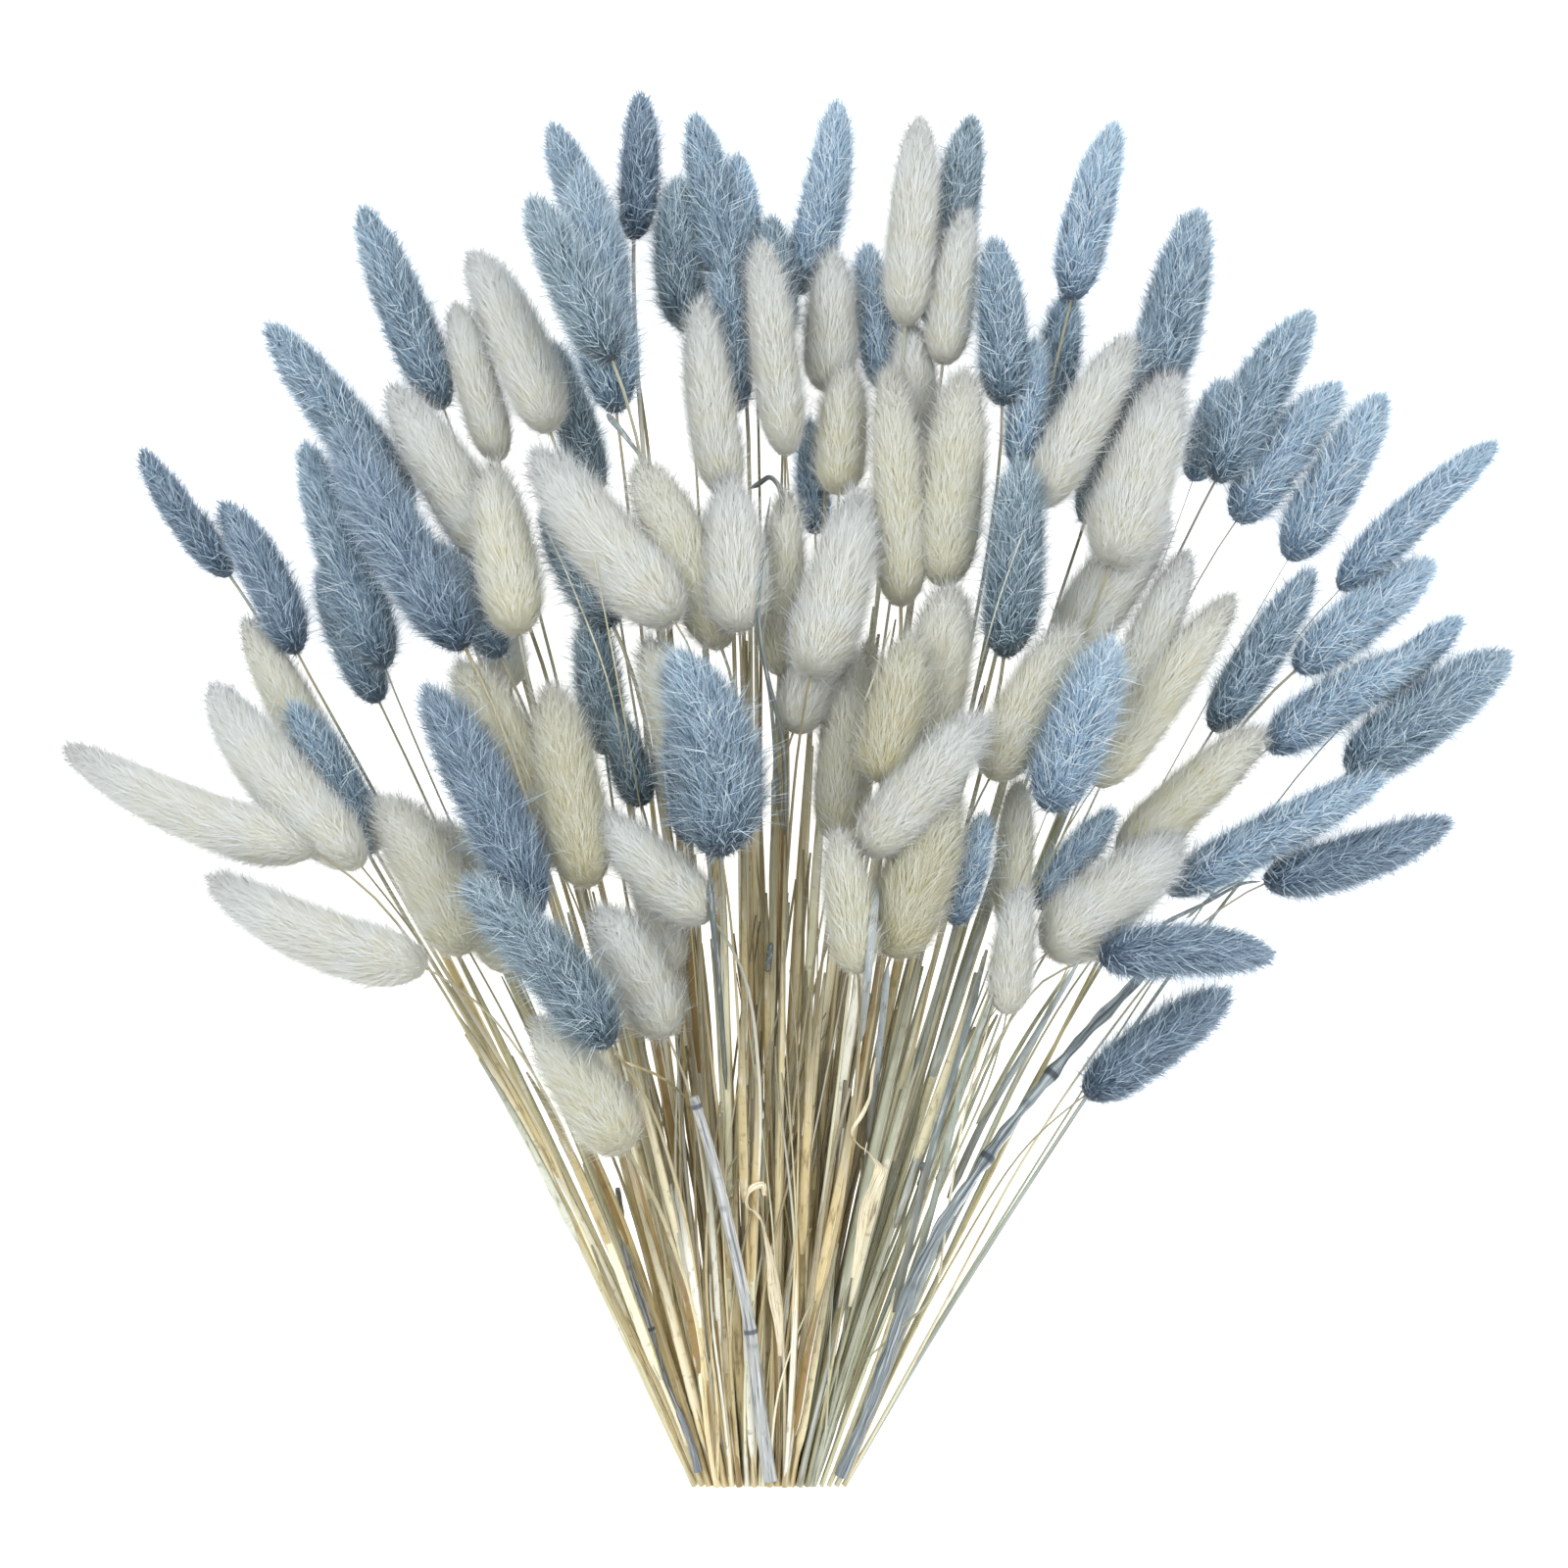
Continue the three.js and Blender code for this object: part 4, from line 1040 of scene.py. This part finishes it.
def growLooseStraws():
    pieces = []
    steps = looseLook["steps"]
    spread = np.random.default_rng(looseLook["seed"])
    master = tubeMaster("strawMaster", looseLook["sides"], steps)
    for i in range(looseLook["count"]):
        draw = spread.random(6)
        first = int(len(heads) * np.interp(draw[0], (0, 1), looseLook["fan"]))
        crossing = i % 3 == 0                  # one in three runs from one stem across to another
        other = first + (looseLook["cross"] * (-1 if first > len(heads) / 2 else 1) if crossing else 1)
        pair = [smoothRoute(heads[k].route, 100) for k in (first, other)]
        top = int(100 * np.interp(draw[2], (0, 1), looseLook["top"]))
        share = (np.linspace(0, 1, top + 1) if crossing else np.full(top + 1, 0.25 + 0.5 * draw[1]))[:, None]
        mixed = pair[0][:top + 1] * (1 - share) + pair[1][:top + 1] * share
        route = smoothRoute(mixed[::4], steps)
        run = np.linspace(0, 1, steps + 1)
        route[:, 0] += looseLook["wander"] * np.sin(run * 5 + draw[3] * 6) * run
        low = i % 2 == 0 and not crossing
        if low:
            route[:, 2] = np.maximum(route[:, 2] - looseLook["sink"], 1)
        thick = np.interp(draw[4], (0, 1), looseLook["thick"]) * (looseLook["crossThin"] if crossing else 1)
        if crossing:
            route[:, 2] += looseLook["rise"] * np.sin(run * math.pi)
        strip = stemStrip(heads[first])
        if low:
            # Painted shade: the low straws take the darkest strips
            strip = looseLook["shadeStrips"][strip >= stripPick["kind"]]
        else:
            strip = nextStrip(strip, int(draw[5] * 8))
        pieces.append(layAlong(master, "straw", route, lambda s: thick * (1 - 0.5 * s), strip,
                               stemLook["strips"], looseLook["flat"]))
    finishStraws(pieces, "looseStraws", straw, "straw_stems", "stem_bundle")
    bpy.data.objects.remove(master)


growSheaths()
growLooseStraws()

# The coarser pieces on top of the bundle, on the plan, from the cut upwards
culm = dict(route=[(786, 1514), (775, 1440), (766, 1360), (748, 1270), (728, 1185), (708, 1118)],
            radius=(2.2, 1.5), rings=[0.39, 0.975], swell=0.1, strips=1, grain=12,
            tones=[(174, 178, 177)], streakDark=(94, 98, 107), streakLight=(228, 230, 230),
            ringTone=(72, 72, 90), roughness=0.5, streakFull=0.62)
branch = dict(route=[(858, 1510), (905, 1385), (950, 1270), (1008, 1178), (1072, 1102), (1116, 1050),
                     (1132, 1033), (1147, 1016), (1166, 996)],
              radius=(1.8, 1.7), rings=[0.595, 0.775], swell=0.3, uneven=0.3, sway=0.7, strips=1, grain=12,
              tones=[(122, 132, 137)], streakDark=(62, 72, 81), streakLight=(202, 213, 217),
              ringTone=(44, 55, 68), roughness=0.6, streakFull=0.6)
twig = dict(route=[(712, 1506), (676, 1400), (650, 1325), (638, 1268), (626, 1216)],
            radius=(1.2, 0.9), rings=[0.5, 0.86], swell=0.5, uneven=0.2, sway=0.8, strips=1, grain=12,
            tones=[(122, 128, 135)], streakDark=(59, 64, 74), streakLight=(191, 195, 193),
            ringTone=(51, 53, 66), roughness=0.6, streakFull=0.6)
coarseMesh = dict(sides=12, steps=60, ringReach=0.012)


def carriedRoute(node, route, ring=6):
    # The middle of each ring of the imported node, so that the piece lies where the node does
    co = np.unique(readPlaces(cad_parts[node].data).round(7), axis=0) / mm
    points = []
    for spot in route:
        x, y = place(spot)
        near = co[np.argsort(np.hypot(co[:, 0] - x, co[:, 1] - y))[:ring]]
        points.append([x, y, near[:, 2].mean()])
    return np.array(points)


def growCoarse(name, look, node, slot):
    steps = coarseMesh["steps"]
    master = tubeMaster(name + "Master", coarseMesh["sides"], steps)
    route = smoothRoute(carriedRoute(node, look["route"]), steps)
    route[:, 0] += look.get("sway", 0) * np.sin(np.linspace(0, 14, steps + 1))
    low, high = look["radius"]

    def radiusAt(share):
        swell = sum(math.exp(-((share - ring) / coarseMesh["ringReach"]) ** 2) for ring in look["rings"])
        uneven = look.get("uneven", 0) * (math.sin(share * 43) + math.sin(share * 97 + 1)) / 2
        return (low + (high - low) * share) * (1 + look["swell"] * swell + uneven)

    piece = layAlong(master, name, route, radiusAt)
    finishStraws([piece], name, strawFinish(name + "Skin", look), slot, node)
    bpy.data.objects.remove(master)


growCoarse("greyCulm", culm, "grey_culm", "grey_stem")
growCoarse("blueGreyBranch", branch, "blue_grey_branch", "blue_stem")
growCoarse("darkTwig", twig, "dark_twig", "blue_stem")

# Two curled dry leaves: places on the plan with half the width, the lift and the turn of the blade
leafLook = dict(across=4, steps=80, trough=0.5, strips=1, grain=8, tones=[(232, 222, 192)],
                streakDark=(175, 159, 115), streakLight=(243, 243, 232), roughness=0.6, streakFull=0.6)
leafLeft = [(796, 1385, 0.5, 0, 0), (795, 1350, 1.5, 0.2, 0.2), (792, 1322, 2.2, 0.5, 0.4),
            (788, 1285, 1.6, 0.8, 0.7), (780, 1252, 1.0, 1.4, 1.3), (774, 1238, 1.4, 2.4, 1.8),
            (764, 1231, 0.9, 3.2, 1.2), (763, 1219, 0.8, 3.4, 0.6), (770, 1211, 1.1, 3.0, 0.2),
            (779, 1209, 1.0, 2.4, -0.3), (781, 1220, 0.7, 2.0, -0.6)]
leafRight = [(870, 1304, 0.5, 0, 0), (878, 1266, 1.3, 0.3, 0.3), (883, 1230, 1.8, 0.8, -0.3),
             (892, 1205, 2.0, 1.4, -0.6), (899, 1190, 1.6, 2.0, 0.6), (888, 1176, 0.7, 2.6, 1.4),
             (874, 1164, 0.6, 2.8, 1.6), (870, 1152, 0.6, 2.6, 0.8), (879, 1137, 0.7, 2.2, 0.4),
             (888, 1118, 0.7, 1.6, 0.9), (890, 1096, 0.5, 1.0, 0.4), (893, 1078, 0.2, 0.6, 0)]


def leafMaster():
    deselectAll()
    bpy.ops.mesh.primitive_grid_add(x_subdivisions=leafLook["across"], y_subdivisions=leafLook["steps"],
                                    size=2)
    blade = bpy.context.object
    blade.name = blade.data.name = "leafMaster"
    co = readPlaces(blade.data)
    co[:, 1] = (co[:, 1] + 1) / 2
    co[:, 2] = leafLook["trough"] * co[:, 0] ** 2
    writePlaces(blade.data, co)
    at = cornerVertices(blade.data)
    paintPalette(blade.data, np.column_stack([(co[at, 0] + 1) / 2, co[at, 1]]))
    return blade


def growLeaf(name, spots, node):
    spots = np.array(spots, float)
    route = carriedRoute(node, spots[:, :2], 10)
    route[:, 2] += spots[:, 3]
    # Widths and turns ride along as two further columns of the route
    steps = leafLook["steps"]
    shaped = smoothRoute(np.column_stack([route, spots[:, 2], spots[:, 4]]), steps)
    piece = layAlong(leafBlade, name, shaped[:, :3], lambda s: shaped[round(s * steps), 3],
                     turnAt=lambda s: shaped[round(s * steps), 4])
    finishStraws([piece], name, leafSkin, "dry_leaf", node)


leafBlade = leafMaster()
leafSkin = strawFinish("leafSkin", leafLook)
growLeaf("curledLeafLeft", leafLeft, "curled_leaf_left")
growLeaf("curledLeafRight", leafRight, "curled_leaf_right")

# Scraps and stray stems that lie on top: places on the plan, radius at both ends and strip of the straw
topStraws = [
    ([(548, 520), (585, 600), (622, 700), (642, 802)], 0.3, 0.3, 13),
    ([(606, 560), (630, 690), (656, 836)], 0.3, 0.35, 8),
    ([(1044, 540), (1016, 620), (990, 720)], 0.25, 0.3, 11),
    ([(910, 640), (892, 690), (875, 735)], 0.3, 0.4, 3),
    ([(1010, 1040), (985, 1130), (968, 1230), (955, 1315), (925, 1352), (880, 1392)], 0.35, 0.45, 13),
    ([(1010, 1178), (962, 1262), (914, 1380), (880, 1470)], 1.1, 1.6, 19),
    ([(1100, 978), (1055, 1060), (1008, 1140), (968, 1225)], 0.9, 1.5, 19),
    ([(1090, 988), (1044, 1064), (996, 1146)], 0.6, 1.0, 9),
    ([(1184, 942), (1230, 923), (1268, 903), (1288, 900)], 0.8, 0.5, 17),
    ([(1214, 938), (1245, 911), (1272, 897)], 0.6, 0.4, 18),
    ([(1062, 1112), (1000, 1198), (952, 1290)], 0.8, 1.3, 16),
    ([(786, 505), (779, 560), (774, 635), (783, 690), (799, 760), (802, 850)], 0.55, 1.0, 17),
    ([(783, 545), (782, 620), (778, 660), (787, 720), (793, 800), (798, 850)], 0.4, 0.8, 18),
    ([(766, 497), (776, 491), (785, 486), (793, 493), (798, 508), (797, 530)], 1.0, 0.7, 17),
    ([(724, 892), (732, 980), (737, 1050), (741, 1112)], 1.2, 0.8, 17),
    ([(620, 424), (640, 448), (665, 482)], 1.3, 0.4, 16),
    ([(787, 962), (785, 976), (783, 992)], 0.9, 1.3, 17),
    ([(941, 1186), (943, 1198), (939, 1212)], 1.2, 1.5, 17),
    ([(965, 1178), (962, 1192), (957, 1206)], 1.0, 1.4, 17),
    ([(1002, 985), (972, 1100), (945, 1196), (912, 1340)], 1.1, 1.5, 16),
    ([(1012, 1012), (985, 1090), (962, 1190), (925, 1330)], 1.0, 1.3, 18),
    ([(893, 905), (884, 1000), (878, 1060)], 1.5, 1.2, 19),
    ([(905, 985), (897, 1070), (886, 1168)], 1.3, 1.0, 19),
    ([(640, 1080), (672, 1098), (700, 1118)], 0.45, 0.5, 7),
]
topLook = dict(steps=24, clear=0.2, overHead=1.04, overStem=0.9, passes=60, spacing=2)


def growTopStraws():
    headBalls = np.vstack([head.balls for head in heads])
    stemBalls = np.vstack([ballsAlong(head.route, topLook["spacing"]) for head in heads])
    pieces = []
    for spots, low, high, strip in topStraws:
        flat = [[*place(spot), 0] for spot in spots]
        route = smoothRoute(flat, topLook["steps"])
        thick = max(low, high)
        need = np.array([max(
            heightOver(x, y, headBalls, headBalls[:, 3] * topLook["overHead"] + topLook["clear"]),
            heightOver(x, y, stemBalls, stemBalls[:, 3] + topLook["overStem"] + thick * 0.7), thick)
            for x, y, _ in route])
        route[:, 2] = need
        for _ in range(topLook["passes"]):
            route[1:-1, 2] = np.maximum(need[1:-1], (route[:-2, 2] + route[2:, 2]) / 2)
        pieces.append(layAlong(stemMaster, "scrap", route,
                               lambda s: (low + (high - low) * s) * min(1, 0.3 + 9 * s, 0.3 + 9 * (1 - s)),
                               strip, stemLook["strips"]))
    finishStraws(pieces, "topStraws", straw, "straw_stems", "stem_bundle")


growTopStraws()

for extra in (*cores.values(), *blades, stemMaster, leafBlade):
    bpy.data.objects.remove(extra)


# The pale ground and the light: place, size and power of each lamp
stageLook = dict(floorSize=8, floorDrop=0.0002, paper=(0.92, 0.92, 0.92, 1), paperRoughness=0.9, glow=0.9,
                 sky=0.84, lamps={
                     "keyLight": ((-1.2, 1.0, 2.0), 1.6, 28),
                     "fillLight": ((1.5, 0.1, 1.9), 2.4, 24)})


def buildStage():
    deselectAll()
    bpy.ops.mesh.primitive_plane_add(size=stageLook["floorSize"], location=(0, 0, -stageLook["floorDrop"]))
    floor = bpy.context.object
    floor.name = "floor"
    paper = bpy.data.materials.new("palePaper")
    paper.use_nodes = True
    sheet = Sheet(paper.node_tree)
    surface = sheet.node("ShaderNodeBsdfPrincipled", {}, {
        "Base Color": stageLook["paper"], "Roughness": stageLook["paperRoughness"],
        "Emission Color": (1, 1, 1, 1), "Emission Strength": stageLook["glow"]})
    sheet.node("ShaderNodeOutputMaterial", {}, {"Surface": surface})
    floor.data.materials.append(paper)
    for name, (spot, size, power) in stageLook["lamps"].items():
        bpy.ops.object.light_add(type="AREA", location=spot)
        light = bpy.context.object
        light.name = name
        light.data.size = size
        light.data.energy = power
        light.rotation_euler = (-Vector(spot)).to_track_quat("-Z", "Y").to_euler()
    world = bpy.data.worlds.new("softRoom")
    bpy.context.scene.world = world
    world.use_nodes = True
    sky = world.node_tree.nodes["Background"]
    sky.inputs["Color"].default_value = (1, 1, 1, 1)
    sky.inputs["Strength"].default_value = stageLook["sky"]


# The camera looks straight down at the photo's scale, from far enough for a flat view
camera = dict(frameSize=plan["width"] * mmPerPixel * mm, middle=(800, 800), lens=250, sensor=36, level=0.03,
              clip=(0.1, 20))


def buildCamera():
    x, y = place(camera["middle"]) * mm
    away = camera["frameSize"] * camera["lens"] / camera["sensor"]
    bpy.ops.object.camera_add(location=(x, y, away + camera["level"]), rotation=(0, 0, 0))
    made = bpy.context.object
    made.data.lens, made.data.sensor_width = camera["lens"], camera["sensor"]
    made.data.clip_start, made.data.clip_end = camera["clip"]
    bpy.context.scene.camera = made
    bpy.context.scene.view_settings.view_transform = "Standard"


buildStage()
buildCamera()
